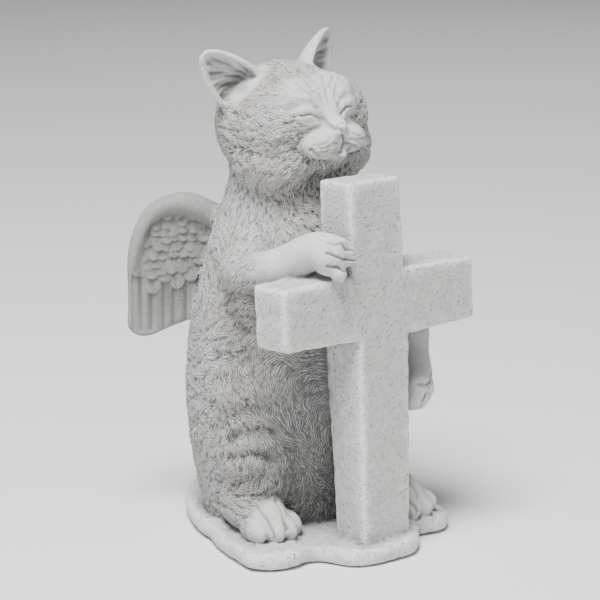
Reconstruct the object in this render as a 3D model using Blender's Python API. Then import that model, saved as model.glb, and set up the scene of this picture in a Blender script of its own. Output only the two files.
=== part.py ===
"""A cast-stone pet memorial: an angel cat standing behind a leaning Latin cross, on one slab.

The whole work is one casting. It is blocked out from ellipsoids, lofts and an extruded slab and
cross, fused with voxel remeshing, smoothed as clay is, and then carved by moving its vertices.
Metres, +Z up. The cat faces -Y and its left side is at +X. The origin is on the slab's underside.
"""

import math

import bmesh
import bpy
import numpy as np
from mathutils import Matrix, Vector

# Slab
SLAB_THICKNESS = 0.011
SLAB_EDGE_RADIUS = 0.005
SLAB_WIDTH = 0.172
SLAB_DEPTH = 0.202
SLAB_FRONT_Y = -0.100
SLAB_RINGS = 6
SLAB_FLAT_SHARE = 0.9

# Cross
CROSS_HEIGHT = 0.2235
CROSS_DEPTH = 0.0268
CROSS_TOP_DEPTH = 0.0286
UPRIGHT_TOP_WIDTH = 0.0412
UPRIGHT_MIDDLE_WIDTH = 0.0418
UPRIGHT_FOOT_WIDTH = 0.0395
BAR_LENGTH = 0.158
BAR_END_HEIGHT = 0.0392
BAR_MIDDLE_HEIGHT = 0.0438
BAR_CENTRE_HEIGHT = 0.1476
CROSS_EDGE_RADIUS = 0.0022
CROSS_LEAN = math.radians(3.5)
CROSS_FRONT_Y = -0.086
CROSS_SINK = 0.003
# How far each corner of the hand-cut cross lies off its true outline (x, z), from the foot up its
# right side and down its left
CROSS_FRONT_DRIFT = [
    (-0.001, 0), (0.0025, -0.0004), (0, -0.0012), (0, -0.0021), (0.0002, -0.0027), (-0.0008, 0),
    (-0.0008, 0.0003), (0, -0.002), (0.0027, -0.0016), (0.003, 0.0002), (0.0039, 0.0013), (0, 0),
]
CROSS_BACK_DRIFT = [
    (-0.001, 0), (0, 0), (0, -0.0005), (0, 0.0009), (0, 0), (-0.0008, 0),
    (-0.001, 0), (-0.0005, 0), (0.0025, 0), (0.0028, 0.0005), (-0.0005, 0.001), (0, 0),
]

# Cat. Its pose, proportions and carving are shares of its height: 300 units reach from the
# slab's top to the ear tips, and are measured from the axis of its body.
FIGURE_HEIGHT = 0.300
UNITS_TALL = 300
UNIT = FIGURE_HEIGHT / UNITS_TALL
BODY_Y = 0.009
HEAD_CENTRE = (-3, -5, 240)
HEAD_YAW = math.radians(-3)
HEAD_ROLL = math.radians(-5)

# Clay
COARSE_VOXEL = 0.0025
MEDIUM_VOXEL = 0.0018
FINE_VOXEL = 0.0013
CAT_TRIANGLES = 8200

STONE_COLOUR = (0.60, 0.60, 0.59, 1.0)
STONE_ROUGHNESS = 0.85

FIGURE = Matrix.Translation((0, BODY_Y, SLAB_THICKNESS)) @ Matrix.Scale(UNIT, 4)
HEAD = (
    FIGURE @ Matrix.Translation(HEAD_CENTRE)
    @ Matrix.Rotation(HEAD_YAW, 4, "Z")
    @ Matrix.Rotation(HEAD_ROLL, 4, "Y")
)
CROSS = (
    Matrix.Translation((0, CROSS_FRONT_Y, SLAB_THICKNESS))
    @ Matrix.Rotation(-CROSS_LEAN, 4, "X")
)


# Closed shells, each added to a bmesh

def ellipsoid(bm, frame, centre, radii, turn=(0, 0, 0)):
    """A ball stretched to three radii and turned by degrees about X, Y and Z, in that order."""
    matrix = frame @ Matrix.Translation(centre)
    for angle, axis in zip(reversed(turn), "ZYX"):
        matrix = matrix @ Matrix.Rotation(math.radians(angle), 4, axis)
    matrix = matrix @ Matrix.Diagonal((*radii, 1))
    bmesh.ops.create_icosphere(bm, subdivisions=4, radius=1, matrix=matrix)


def loft(bm, rings):
    """A closed shell through rings of equal count, capped at both ends."""
    loops = [[bm.verts.new(point) for point in ring] for ring in rings]
    count = len(loops[0])
    for low, high in zip(loops, loops[1:]):
        for i in range(count):
            j = (i + 1) % count
            bm.faces.new((low[i], low[j], high[j], high[i]))
    bm.faces.new(list(reversed(loops[0])))
    bm.faces.new(loops[-1])


def smooth_rows(rows, steps):
    """Rows of numbers interpolated by a Catmull-Rom curve, with steps points for each span."""
    rows = np.array(rows, float)
    padded = np.vstack([2 * rows[0] - rows[1], rows, 2 * rows[-1] - rows[-2]])
    found = []
    for a, b, c, d in zip(padded, padded[1:], padded[2:], padded[3:]):
        for t in np.arange(steps) / steps:
            found.append(
                0.5 * (2 * b + (c - a) * t + (2 * a - 5 * b + 4 * c - d) * t**2
                       + (3 * b - a - 3 * c + d) * t**3)
            )
    return np.array([*found, rows[-1]])


def limb(bm, frame, rows, sides=20):
    """A round tube along (x, y, z, radius) rows, for arms and rims."""
    rows = smooth_rows(rows, 6)
    rings = []
    for i, row in enumerate(rows):
        ahead = Vector(rows[min(i + 1, len(rows) - 1)][:3])
        behind = Vector(rows[max(i - 1, 0)][:3])
        turn = (ahead - behind).to_track_quat("Z", "Y").to_matrix()
        ring = []
        for k in range(sides):
            angle = 2 * math.pi * k / sides
            spoke = Vector((math.cos(angle), math.sin(angle), 0)) * row[3]
            ring.append(frame @ (Vector(row[:3]) + turn @ spoke))
        rings.append(ring)
    loft(bm, rings)
    for row in (rows[0], rows[-1]):
        ellipsoid(bm, frame, row[:3], (row[3],) * 3)


def upright_body(bm, rows, sides=48):
    """The torso: (height, half width, half depth, centre y) rows lofted upwards."""
    rings = []
    for z, half_width, half_depth, y in smooth_rows(rows, 5):
        ring = []
        for k in range(sides):
            angle = 2 * math.pi * k / sides
            ring.append(FIGURE @ Vector((half_width * math.cos(angle), y + half_depth * math.sin(angle), z)))
        rings.append(ring)
    loft(bm, rings)


EAR_ROOT = (25.5, 2, 27)
EAR_TIP = (52, 13.5, 59)
EAR_WALL = 3.2
EAR_RINGS = [(0, 17, 17), (0.3, 16.6, 15.5), (0.55, 14.4, 12.5), (0.75, 11.2, 9), (0.9, 7.6, 5.6), (1, 3.6, 2.6)]


def ear(bm, side):
    """A cupped ear: (share of its length, half width, bulge) crescents from inside the skull to its tip."""
    root = Vector((EAR_ROOT[0] * side, *EAR_ROOT[1:]))
    tip = Vector((EAR_TIP[0] * side, *EAR_TIP[1:]))
    axis = (tip - root).normalized()
    opening = Vector((0.55 * side, -0.80, 0.1))
    opening = (opening - axis * opening.dot(axis)).normalized()
    across = axis.cross(opening)
    angles = [math.pi * k / 12 for k in range(13)]
    rings = []
    for share, half_width, bulge in smooth_rows(EAR_RINGS, 4):
        centre = root.lerp(tip, share)
        ring = []
        for angle in angles:
            ring.append(centre + across * half_width * math.cos(angle) - opening * bulge * math.sin(angle))
        for angle in reversed(angles):
            inner_width = max(half_width - EAR_WALL, 0.8)
            inner_bulge = max(bulge - EAR_WALL, 0.2)
            ring.append(centre + across * inner_width * math.cos(angle)
                        - opening * (inner_bulge * math.sin(angle) - 1.2))
        rings.append([HEAD @ point for point in ring])
    loft(bm, rings)


def paw(bm, frame, centre, radii, toes):
    """A rounded paw with toes, each given by the centre and the radius of its end."""
    ellipsoid(bm, frame, centre, radii)
    for *toe, radius in toes:
        back = Vector(toe).lerp(Vector(centre), 0.55)
        limb(bm, frame, [(*back, radius * 0.95), (*toe, radius)], sides=12)


# Frames and outlines of the wings, the slab and the cross

WING_ROOT = (-12, 40, 0)
WING_SPREAD = math.radians(30)
WING_HALF_THICKNESS = 3.4
WING_OUTLINE = [
    (-6, 178), (6, 187), (15, 194), (24, 199.5), (34, 200.5), (44, 198), (53, 193), (60, 183), (65, 170),
    (68, 156), (68, 140), (68, 124), (68.5, 115), (64, 109), (55, 107.5), (43, 112), (29, 117), (12, 122),
    (-6, 126),
]
WING_RIM = [
    (-2, 175, 7.5), (10, 183.5, 7.8), (22, 190, 7.5), (34, 193.5, 6.8), (44, 192, 6), (52, 187.5, 5.4),
    (58, 179, 5), (62.3, 167, 4.6), (64.6, 155, 4.2), (65, 147, 3.4),
]
COVERT_ROWS = [(178, 20, 47, 4, 4.6), (169, 13, 56, 6, 4.9), (159, 12, 60, 6, 5.3), (148, 14, 60, 5, 6.2)]
PRIMARIES = 5
PRIMARY_TOP = 146
PRIMARY_SPAN = (10, 62)


def wing_frame(side):
    """Maps (span, height, outwards from the front face) to the world. side is 1 for the cat's left."""
    span = Vector((side * math.cos(WING_SPREAD), math.sin(WING_SPREAD), 0))
    front = Vector((side * math.sin(WING_SPREAD), -math.cos(WING_SPREAD), 0))
    root = Vector((-side * WING_ROOT[0], WING_ROOT[1], WING_ROOT[2]))
    turn = Matrix((span, (0, 0, 1), front)).transposed().to_4x4()
    return FIGURE @ Matrix.Translation(root) @ turn


def feathers(bm, frame, face):
    """Relief on one face of a wing, 1 for the front and -1 for the back: coverts above primaries."""
    lift = WING_HALF_THICKNESS * 0.75
    for row, (height, first, last, count, radius) in enumerate(COVERT_ROWS):
        step = (last - first) / count
        for k in range(count):
            span = first + step * (k + 0.25 + 0.5 * (row % 2))
            sag = 0.004 * (span - 34) ** 2
            centre = (span, height - sag, face * (lift + 0.5))
            ellipsoid(bm, frame, centre, (radius * 0.86, radius * 1.2, 1.7), (14 * face, 0, 0))
    first, last = PRIMARY_SPAN
    step = (last - first) / PRIMARIES
    for k in range(PRIMARIES):
        span = first + step * (k + 0.5)
        foot = 123 - 11 * (span - first) / (last - first)
        centre = (span, (PRIMARY_TOP + foot) / 2, face * (lift - 0.4))
        ellipsoid(bm, frame, centre, (step * 0.5, (PRIMARY_TOP - foot) * 0.6, 2.0), (0, 9 * face, 0))


def wing(bm, side):
    """A wing: a thin panel with a rolled rim along its leading edge, and feathers on both faces."""
    frame = wing_frame(side)
    outline = smooth_rows([*WING_OUTLINE], 4)
    middle = outline.mean(axis=0)
    layers = []
    for depth, inset in ((-1, 1.6), (-0.5, 0.2), (0.2, 0.0), (0.75, 1.6)):
        ring = []
        for point in outline:
            away = (point - middle) / np.linalg.norm(point - middle)
            ring.append(frame @ Vector((*(point - away * inset), depth * WING_HALF_THICKNESS)))
        layers.append(ring)
    loft(bm, layers)
    limb(bm, frame, [(span, height, 1.2, radius) for span, height, radius in WING_RIM])


SLAB_OUTLINE = [
    (0.0, 0.99), (-0.08, 0.952), (-0.165, 0.885), (-0.235, 0.815), (-0.3, 0.735), (-0.355, 0.635),
    (-0.4, 0.52), (-0.445, 0.425), (-0.474, 0.345), (-0.492, 0.285), (-0.502, 0.222), (-0.478, 0.19),
    (-0.445, 0.168), (-0.398, 0.154), (-0.35, 0.15), (-0.296, 0.16), (-0.252, 0.147), (-0.228, 0.1),
    (-0.205, 0.058), (-0.165, 0.027), (-0.11, 0.008), (-0.05, 0.005), (0.0, 0.007), (0.04, 0.008),
    (0.085, 0.024), (0.14, 0.06), (0.187, 0.103), (0.22, 0.135), (0.26, 0.13), (0.318, 0.121),
    (0.368, 0.142), (0.405, 0.168), (0.43, 0.215), (0.442, 0.28), (0.446, 0.35), (0.445, 0.42),
    (0.43, 0.51), (0.39, 0.62), (0.33, 0.75), (0.24, 0.87), (0.12, 0.955),
]


def slab(bm):
    """The slab: its outline as shares of width and depth, with a rounded rim, standing on z = 0."""
    outline = smooth_rows([*SLAB_OUTLINE, SLAB_OUTLINE[0]], 2)[:-1]
    points = np.column_stack([outline[:, 0] * SLAB_WIDTH, SLAB_FRONT_Y + outline[:, 1] * SLAB_DEPTH])
    ahead = np.roll(points, -1, axis=0) - np.roll(points, 1, axis=0)
    outward = np.column_stack([ahead[:, 1], -ahead[:, 0]])
    outward /= np.linalg.norm(outward, axis=1)[:, None]
    middle = points.mean(axis=0)
    if ((points - middle) * outward).sum() < 0:
        outward = -outward
    levels = []
    for step in range(SLAB_RINGS):
        tilt = 2 * step / (SLAB_RINGS - 1) - 1
        height = SLAB_THICKNESS / 2 * (1 + math.sin(math.pi / 2 * tilt))
        levels.append((height, SLAB_EDGE_RADIUS * (1 - math.cos(math.pi / 2 * tilt * SLAB_FLAT_SHARE))))
    rings = []
    for height, inset in levels:
        rings.append([Vector((*(point - away * inset), height)) for point, away in zip(points, outward)])
    loft(bm, rings)


def cross_outline(drift):
    """The twelve corners (x, z) of one face of the cross, each moved by its drift."""
    half_bar = BAR_LENGTH / 2
    end = BAR_END_HEIGHT / 2
    middle = BAR_MIDDLE_HEIGHT / 2
    side = [
        (UPRIGHT_FOOT_WIDTH / 2, -CROSS_SINK),
        (UPRIGHT_MIDDLE_WIDTH / 2, BAR_CENTRE_HEIGHT - middle),
        (half_bar, BAR_CENTRE_HEIGHT - end),
        (half_bar, BAR_CENTRE_HEIGHT + end),
        (UPRIGHT_MIDDLE_WIDTH / 2, BAR_CENTRE_HEIGHT + middle),
        (UPRIGHT_TOP_WIDTH / 2, CROSS_HEIGHT),
    ]
    outline = side + [(-x, z) for x, z in reversed(side)]
    return [(x + off, z + rise) for (x, z), (off, rise) in zip(outline, drift)]


def cross(bm):
    """The cross: a front and a back outline joined by its depth, with rounded edges, leaning on its foot."""
    thicken = (CROSS_TOP_DEPTH - CROSS_DEPTH) / CROSS_HEIGHT
    body = bmesh.new()
    front = [body.verts.new((x, 0, z)) for x, z in cross_outline(CROSS_FRONT_DRIFT)]
    back = [body.verts.new((x, CROSS_DEPTH + z * thicken, z)) for x, z in cross_outline(CROSS_BACK_DRIFT)]
    body.faces.new(front)
    body.faces.new(list(reversed(back)))
    for i in range(len(front)):
        body.faces.new((front[i], back[i], back[i - 1], front[i - 1]))
    bmesh.ops.bevel(body, geom=body.edges[:], offset=CROSS_EDGE_RADIUS, segments=2, profile=0.5, affect="EDGES")
    bmesh.ops.transform(body, matrix=CROSS, verts=body.verts)
    bmesh.ops.recalc_face_normals(body, faces=body.faces)
    moved = bpy.data.meshes.new("cross_outline")
    body.to_mesh(moved)
    body.free()
    bm.from_mesh(moved)
    bpy.data.meshes.remove(moved)


# Blocking out the cat

def main_masses(bm):
    upright_body(
        bm,
        [
            (-4, 52, 47, 4), (20, 57.5, 53.5, 3), (53, 63, 62, 1.5), (85, 64, 66, 0), (118, 61, 63, 0),
            (150, 54.5, 54.5, 0), (180, 47.5, 47.5, 0), (203, 39, 39.5, 0), (225, 35, 36, 0),
        ],
    )
    ellipsoid(bm, HEAD, (0, 4.5, 8), (43, 44, 38.5))
    for side in (-1, 1):
        ellipsoid(bm, HEAD, (22 * side, -13.5, 11), (22, 25, 26))
        ellipsoid(bm, HEAD, (22 * side + 1.5, -8.5, -8.5), (24, 30, 23.5))
        ellipsoid(bm, HEAD, (11 * side, -22, 25), (18, 20, 17))
        ellipsoid(bm, FIGURE, (34 * side, -5, 163), (21, 26, 30))
    ellipsoid(bm, HEAD, (0, -26, 2), (25, 25, 21))
    ellipsoid(bm, FIGURE, (-42, -18, 46), (23, 31, 43), (0, 0, -12))
    ellipsoid(bm, FIGURE, (39, -18, 46), (22, 31, 43), (0, 0, 12))


def right_arm(bm):
    """The cat's right arm, over the bar and round the upright's near edge, which fixes its paw."""
    height = (BAR_CENTRE_HEIGHT + BAR_MIDDLE_HEIGHT / 2) / UNIT + 11
    front = (CROSS_FRONT_Y + math.tan(CROSS_LEAN) * BAR_CENTRE_HEIGHT - BODY_Y) / UNIT
    edge = -UPRIGHT_MIDDLE_WIDTH / 2 / UNIT
    limb(
        bm, FIGURE,
        [
            (-38, -12, 168, 18), (-53, -17, 160.5, 15), (-56, -26, 159.5, 13.6), (-52, -39, 164.5, 13.2),
            (-45, -52, 171.5, 12.8), (edge - 18, front + 16, height + 2, 11.6),
            (edge - 12, front + 7, height + 2, 10.8),
        ],
    )
    toes = [
        (edge - 11.5, front - 1.5, height + 9.5, 3.4), (edge - 6, front - 2.5, height + 4, 3.4),
        (edge - 4.2, front - 2.5, height - 2.7, 3.6), (edge - 14.5, front - 2, height - 9.5, 5.2),
    ]
    paw(bm, FIGURE, (edge - 15, front + 6, height), (12, 11, 12), toes)


def left_arm(bm):
    """The cat's left arm, hanging behind the bar, with its paw against the upright's back edge."""
    back = (CROSS_FRONT_Y + CROSS_DEPTH - BODY_Y) / UNIT
    limb(
        bm, FIGURE,
        [
            (38, -14, 166, 18), (58, -19, 147, 15.5), (66, -29, 129, 13.5), (64, -43, 113, 12.3),
            (59, -51, 100, 11), (53, back + 6, 90, 10),
        ],
    )
    toes = [
        (38.5, back - 5, 74.5, 4.6), (42.5, back - 8, 75.5, 4.6), (47.5, back - 7, 78, 4.4), (52, back - 1, 80, 4.2),
    ]
    paw(bm, FIGURE, (48.5, back + 1, 83), (11, 11, 11), toes)


def foot(bm, side, x, y, rise):
    """A hind foot with its instep and four toes. x and y place the middle of its toes."""
    ellipsoid(bm, FIGURE, ((x - 2) * side, y + 25, 12), (15.5, 33, 15 * rise), (0, 0, 10 * side))
    ellipsoid(bm, FIGURE, ((x - 5) * side, y + 33, 20 * rise), (16.5, 24, 18 * rise), (10, 0, 10 * side))
    for across, behind in ((14.5, 5), (5.2, -1.5), (-5, -1.5), (-13.5, 4.5)):
        ellipsoid(bm, FIGURE, ((x + across) * side, y + behind, 6.5), (5.7, 11.5, 8.2), (0, 0, 8 * side))


def tail(bm):
    """A plain tail, lying round the back of the cat's left side."""
    limb(bm, FIGURE, [(6, 52, 22, 11), (16, 60, 12, 10), (32, 57, 9, 9), (47, 46, 8, 8), (56, 32, 8, 7)])


def face(bm):
    for side in (-1, 1):
        ear(bm, side)
        ellipsoid(bm, HEAD, (10.5 * side, -42, 2.5), (12, 12.5, 9.5), (0, 6 * side, 24 * side))
        ellipsoid(bm, HEAD, (14.5 * side, -38.8, 20.5), (10.5, 6, 6.5), (8, -8 * side, 24 * side))
        ellipsoid(bm, HEAD, (13 * side, -33, 29), (12, 7, 6.5), (0, -14 * side, 22 * side))
    ellipsoid(bm, HEAD, (0, -37.8, 20), (8.5, 12, 16), (-22, 0, 0))
    ellipsoid(bm, HEAD, (0, -51.5, 11.5), (5.6, 4.5, 4.6))
    ellipsoid(bm, HEAD, (0, -42, -7), (8, 8.5, 6.5))
    ellipsoid(bm, HEAD, (1, -48.5, -4.5), (4.6, 4, 4))


def limbs_and_face(bm):
    right_arm(bm)
    left_arm(bm)
    foot(bm, -1, 52, -50, 1)
    foot(bm, 1, 42.5, -68, 1)
    tail(bm)
    for side in (-1, 1):
        wing(bm, side)
    face(bm)


# Clay: fusing, smoothing and carving

def new_object(name, mesh):
    made = bpy.data.objects.new(name, mesh)
    bpy.context.scene.collection.objects.link(made)
    return made


def evaluated(made):
    """The object's mesh as its modifiers leave it. The object itself is removed."""
    graph = bpy.context.evaluated_depsgraph_get()
    mesh = bpy.data.meshes.new_from_object(made.evaluated_get(graph))
    old = made.data
    bpy.data.objects.remove(made)
    bpy.data.meshes.remove(old)
    return mesh


def fused(bm, voxel, rounds):
    """One closed skin round every shell in bm, smoothed by a number of rounds. bm is freed."""
    mesh = bpy.data.meshes.new("clay")
    bm.to_mesh(mesh)
    bm.free()
    made = new_object("clay", mesh)
    remesh = made.modifiers.new("fuse", "REMESH")
    remesh.mode = "VOXEL"
    remesh.voxel_size = voxel
    smooth = made.modifiers.new("smooth", "SMOOTH")
    smooth.factor = 0.5
    smooth.iterations = rounds
    return evaluated(made)


def brush(mesh, frame, path, radius, depth):
    """Move the vertices near a path of points along their normals, inwards where depth is positive.

    The path is in the frame's units, as radius and depth are, and the push fades to its sides.
    """
    count = len(mesh.vertices)
    points = np.empty(count * 3)
    mesh.vertices.foreach_get("co", points)
    points = points.reshape(-1, 3)
    normals = np.empty(count * 3)
    mesh.vertices.foreach_get("normal", normals)
    normals = normals.reshape(-1, 3)
    nearest = np.full(count, np.inf)
    nodes = [np.array(frame @ Vector(node)) for node in path]
    for start, end in zip(nodes, nodes[1:]):
        along = end - start
        share = np.clip((points - start) @ along / (along @ along), 0, 1)
        nearest = np.minimum(nearest, np.linalg.norm(points - start - share[:, None] * along, axis=1))
    fade = np.clip(1 - (nearest / (radius * UNIT)) ** 2, 0, None) ** 2
    points -= normals * (fade * depth * UNIT)[:, None]
    mesh.vertices.foreach_set("co", points.ravel())
    mesh.update()


def carve(mesh):
    """Creases of the face, the ruff and the thighs."""
    for side in (-1, 1):
        lid = [(9.5 * side, -44, 20), (13 * side, -44, 22.8), (16.5 * side, -42, 23.4), (20.5 * side, -39, 21.5)]
        brush(mesh, HEAD, lid, 2.6, 1.3)
        brush(mesh, HEAD, [(6.5 * side, -44, 25), (8.5 * side, -44, 21)], 5, 1.4)
        brush(mesh, HEAD, [(1 * side, -54, 1), (7 * side, -53, -5), (15 * side, -48, -6)], 3.2, 1.4)
        brush(mesh, HEAD, [(5 * side, -43, 32), (7 * side, -33, 43)], 3.5, 1.0)
        brush(mesh, HEAD, [(24 * side, -42, 5), (20 * side, -44, -8)], 6, 1.5)
        ruff = [(14 * side, -42, -22), (30 * side, -30, -27), (40 * side, -8, -28), (38 * side, 12, -28)]
        brush(mesh, HEAD, ruff, 9, 2.4)
        brush(mesh, FIGURE, [(66 * side, -20, 30), (60 * side, -45, 38)], 7, 2)
        brush(mesh, FIGURE, [(66 * side, -20, 46), (56 * side, -50, 50)], 6, 1.4)
    brush(mesh, HEAD, [(0, -56, 8), (0, -54, 0)], 2.6, 1.3)
    brush(mesh, HEAD, [(0, -46, 27), (0, -34, 44)], 3, 0.8)


def thinned(mesh, triangles):
    """The mesh with its faces collapsed to about a number of triangles."""
    made = new_object("thinned", mesh)
    fewer = made.modifiers.new("fewer_faces", "DECIMATE")
    fewer.ratio = triangles / sum(len(face.vertices) - 2 for face in mesh.polygons)
    fewer.use_collapse_triangulate = True
    return evaluated(made)


def cat_mesh():
    bm = bmesh.new()
    main_masses(bm)
    body = fused(bm, COARSE_VOXEL, 10)
    bm = bmesh.new()
    bm.from_mesh(body)
    limbs_and_face(bm)
    cat = fused(bm, MEDIUM_VOXEL, 3)
    carve(cat)
    bm = bmesh.new()
    bm.from_mesh(cat)
    for side in (-1, 1):
        for face_sign in (-1, 1):
            feathers(bm, wing_frame(side), face_sign)
    return thinned(fused(bm, FINE_VOXEL, 1), CAT_TRIANGLES)


def united(first, second):
    """One solid from two meshes."""
    made = new_object("first", first)
    other = new_object("second", second)
    join = made.modifiers.new("unite", "BOOLEAN")
    join.operation = "UNION"
    join.solver = "EXACT"
    join.object = other
    mesh = evaluated(made)
    bpy.data.objects.remove(other)
    bpy.data.meshes.remove(second)
    return mesh


def shell_mesh(add):
    """A mesh of the one shell that add puts into a bmesh."""
    bm = bmesh.new()
    add(bm)
    bmesh.ops.recalc_face_normals(bm, faces=bm.faces)
    bmesh.ops.triangulate(bm, faces=bm.faces)
    mesh = bpy.data.meshes.new("shell")
    bm.to_mesh(mesh)
    bm.free()
    return mesh


def statue_mesh():
    setting = united(shell_mesh(slab), shell_mesh(cross))
    return united(setting, cat_mesh())


def stone():
    material = bpy.data.materials.new("cast_stone")
    material.use_nodes = True
    shader = material.node_tree.nodes["Principled BSDF"]
    shader.inputs["Base Color"].default_value = STONE_COLOUR
    shader.inputs["Roughness"].default_value = STONE_ROUGHNESS
    shader.inputs["Metallic"].default_value = 0.0
    return material


def main():
    for old in list(bpy.data.objects):
        bpy.data.objects.remove(old)
    mesh = statue_mesh()
    mesh.materials.clear()
    mesh.materials.append(stone())
    new_object("angel_cat_statue", mesh)


main()
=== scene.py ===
"""An angel cat standing behind a leaning cross: a pet memorial cast in one piece of pale stone.

The statue is blocked out from balls, tubes and lofted rings, fused into one skin by voxel
remeshing, smoothed as clay is, and then carved by moving its vertices: the face, the toes, the
feathers and the locks of fur. It takes the place of the CAD node of the same form.
"""

import math

import bpy
import numpy as np
from mathutils import Matrix, Vector
from mathutils.bvhtree import BVHTree
from mathutils.kdtree import KDTree


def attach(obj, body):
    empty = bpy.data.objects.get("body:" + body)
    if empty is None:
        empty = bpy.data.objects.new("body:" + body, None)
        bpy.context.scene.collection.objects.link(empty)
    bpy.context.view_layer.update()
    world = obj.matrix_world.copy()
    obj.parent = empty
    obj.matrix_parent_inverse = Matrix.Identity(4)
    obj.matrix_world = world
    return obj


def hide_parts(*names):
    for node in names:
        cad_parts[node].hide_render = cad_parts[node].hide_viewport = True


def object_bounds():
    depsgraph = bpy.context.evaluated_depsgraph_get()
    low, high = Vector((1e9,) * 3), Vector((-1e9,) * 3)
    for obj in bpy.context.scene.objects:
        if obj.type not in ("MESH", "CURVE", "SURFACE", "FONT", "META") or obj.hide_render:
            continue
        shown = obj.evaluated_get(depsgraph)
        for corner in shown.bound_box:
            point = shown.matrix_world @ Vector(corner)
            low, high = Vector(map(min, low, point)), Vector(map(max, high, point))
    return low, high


bl_info = {
    "name": "Angel Cat Memorial",
    "version": (1, 0, 0),
    "blender": (4, 5, 0),
    "location": "View3D > Sidebar > Memorial",
    "description": "Builds the carved cast-stone statue and a plain studio stage",
    "category": "Object",
}

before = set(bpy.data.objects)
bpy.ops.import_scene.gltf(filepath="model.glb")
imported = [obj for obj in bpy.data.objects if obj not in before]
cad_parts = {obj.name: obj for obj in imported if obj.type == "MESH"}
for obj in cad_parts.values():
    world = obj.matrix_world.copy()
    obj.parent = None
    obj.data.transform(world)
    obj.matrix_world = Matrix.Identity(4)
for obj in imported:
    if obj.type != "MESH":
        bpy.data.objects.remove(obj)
CAD_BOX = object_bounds()
NODE = "angel_cat_statue"
# The skin inside the solid's bounds: the gap left, the margin over which points are drawn in, and
# the height up to which the underside is taken flat
BOX_GAP = 0.00005
BOX_MARGIN = 0.004
FLAT_UNDER = 0.0004

# Blocking out: (voxel size in metres, rounds of smoothing)
BODY_CLAY = (0.0025, 10)
CAT_CLAY = (0.0015, 4)
FINISHED_ROUNDS = 1

# Fur: (spread of a lock's turn, how many locks are weighed at a point, seed)
CLUMPS = (0.30, 8, 3)
LOCKS = (0.42, 12, 7)
# Feathers
FEATHER_SEED = 5
# Uneven stone: (depth, wavelength, seed)
STONE_WAVES = (0.00025, 0.009, 11)
SLAB_WAVES = (0.0005, 0.022, 12)

# Slab, in metres
SLAB_THICKNESS = 0.011
SLAB_EDGE_RADIUS = 0.005
SLAB_WIDTH = 0.172
SLAB_DEPTH = 0.202
SLAB_FRONT_Y = -0.100
SLAB_RINGS = 9
SLAB_FLAT_SHARE = 0.9

# Cross, in metres
CROSS_HEIGHT = 0.2235
CROSS_DEPTH = 0.0268
CROSS_TOP_DEPTH = 0.0286
UPRIGHT_TOP_WIDTH = 0.0412
UPRIGHT_MIDDLE_WIDTH = 0.0418
UPRIGHT_FOOT_WIDTH = 0.0395
BAR_LENGTH = 0.158
BAR_END_HEIGHT = 0.0392
BAR_MIDDLE_HEIGHT = 0.0438
BAR_CENTRE_HEIGHT = 0.1476
CROSS_EDGE_RADIUS = 0.0022
CROSS_LEAN = math.radians(3.5)
CROSS_FRONT_Y = -0.086
CROSS_SINK = 0.003
# How far each corner of the hand-cut cross lies off its true outline (x, z), from the foot up its
# right side and down its left
CROSS_FRONT_DRIFT = [
    (-0.001, 0), (0.0025, -0.0004), (0, -0.0012), (0, -0.0021), (0.0002, -0.0027), (-0.0008, 0),
    (-0.0008, 0.0003), (0, -0.002), (0.0027, -0.0016), (0.003, 0.0002), (0.0039, 0.0013), (0, 0),
]
CROSS_BACK_DRIFT = [
    (-0.001, 0), (0, 0), (0, -0.0005), (0, 0.0009), (0, 0), (-0.0008, 0),
    (-0.001, 0), (-0.0005, 0), (0.0025, 0), (0.0028, 0.0005), (-0.0005, 0.001), (0, 0),
]

# Cat, in units of which 300 reach from the slab's top to the ear tips
UNIT = 0.001
BODY_Y = 0.009
HEAD_CENTRE = (-3, -5, 240)
HEAD_YAW = math.radians(-3)
HEAD_ROLL = math.radians(-5)

FIGURE = Matrix.Translation((0, BODY_Y, SLAB_THICKNESS)) @ Matrix.Scale(UNIT, 4)
HEAD = (
    FIGURE @ Matrix.Translation(HEAD_CENTRE)
    @ Matrix.Rotation(HEAD_YAW, 4, "Z")
    @ Matrix.Rotation(HEAD_ROLL, 4, "Y")
)
CROSS = (
    Matrix.Translation((0, CROSS_FRONT_Y, SLAB_THICKNESS))
    @ Matrix.Rotation(-CROSS_LEAN, 4, "X")
)


class StatueSettings(bpy.types.PropertyGroup):
    """Sizes and colours of the statue."""

    grain: bpy.props.FloatProperty(
        name="Grain", description="Spacing of the skin's points before carving", default=0.00095,
        min=0.0008, unit="LENGTH",
    )
    triangles: bpy.props.IntProperty(
        name="Triangles", description="Most triangles of the finished skin", default=190000, min=10000
    )
    clump_length: bpy.props.FloatProperty(
        name="Clump length", description="Length of a clump of locks", default=0.019, unit="LENGTH"
    )
    clump_width: bpy.props.FloatProperty(
        name="Clump width", description="Width of a clump of locks", default=0.0068, unit="LENGTH"
    )
    clump_depth: bpy.props.FloatProperty(
        name="Clump depth", description="How far a clump stands proud", default=0.0015, unit="LENGTH"
    )
    lock_length: bpy.props.FloatProperty(
        name="Lock length", description="Length of one carved lock of fur", default=0.0080, unit="LENGTH"
    )
    lock_width: bpy.props.FloatProperty(
        name="Lock width", description="Width of one carved lock of fur", default=0.0024, unit="LENGTH"
    )
    lock_depth: bpy.props.FloatProperty(
        name="Lock depth", description="How far a lock stands proud", default=0.0013, unit="LENGTH"
    )
    stone: bpy.props.FloatVectorProperty(
        name="Stone", description="Colour of the bare stone", subtype="COLOR", default=(0.585, 0.59, 0.59)
    )
    warm: bpy.props.FloatVectorProperty(
        name="Warm tint", description="Colour of the beige patches in the fur", subtype="COLOR",
        default=(0.575, 0.545, 0.50),
    )
    # The dark colour mixed in for painted shade in the hollows, between the hair strands, in the pits and
    # under the arms and the bar, and for the darker wing panels
    wash_and_shade: bpy.props.FloatVectorProperty(
        name="Wash", description="Colour of the dark wash left in the recesses", subtype="COLOR",
        default=(0.15, 0.15, 0.145),
    )


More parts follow.
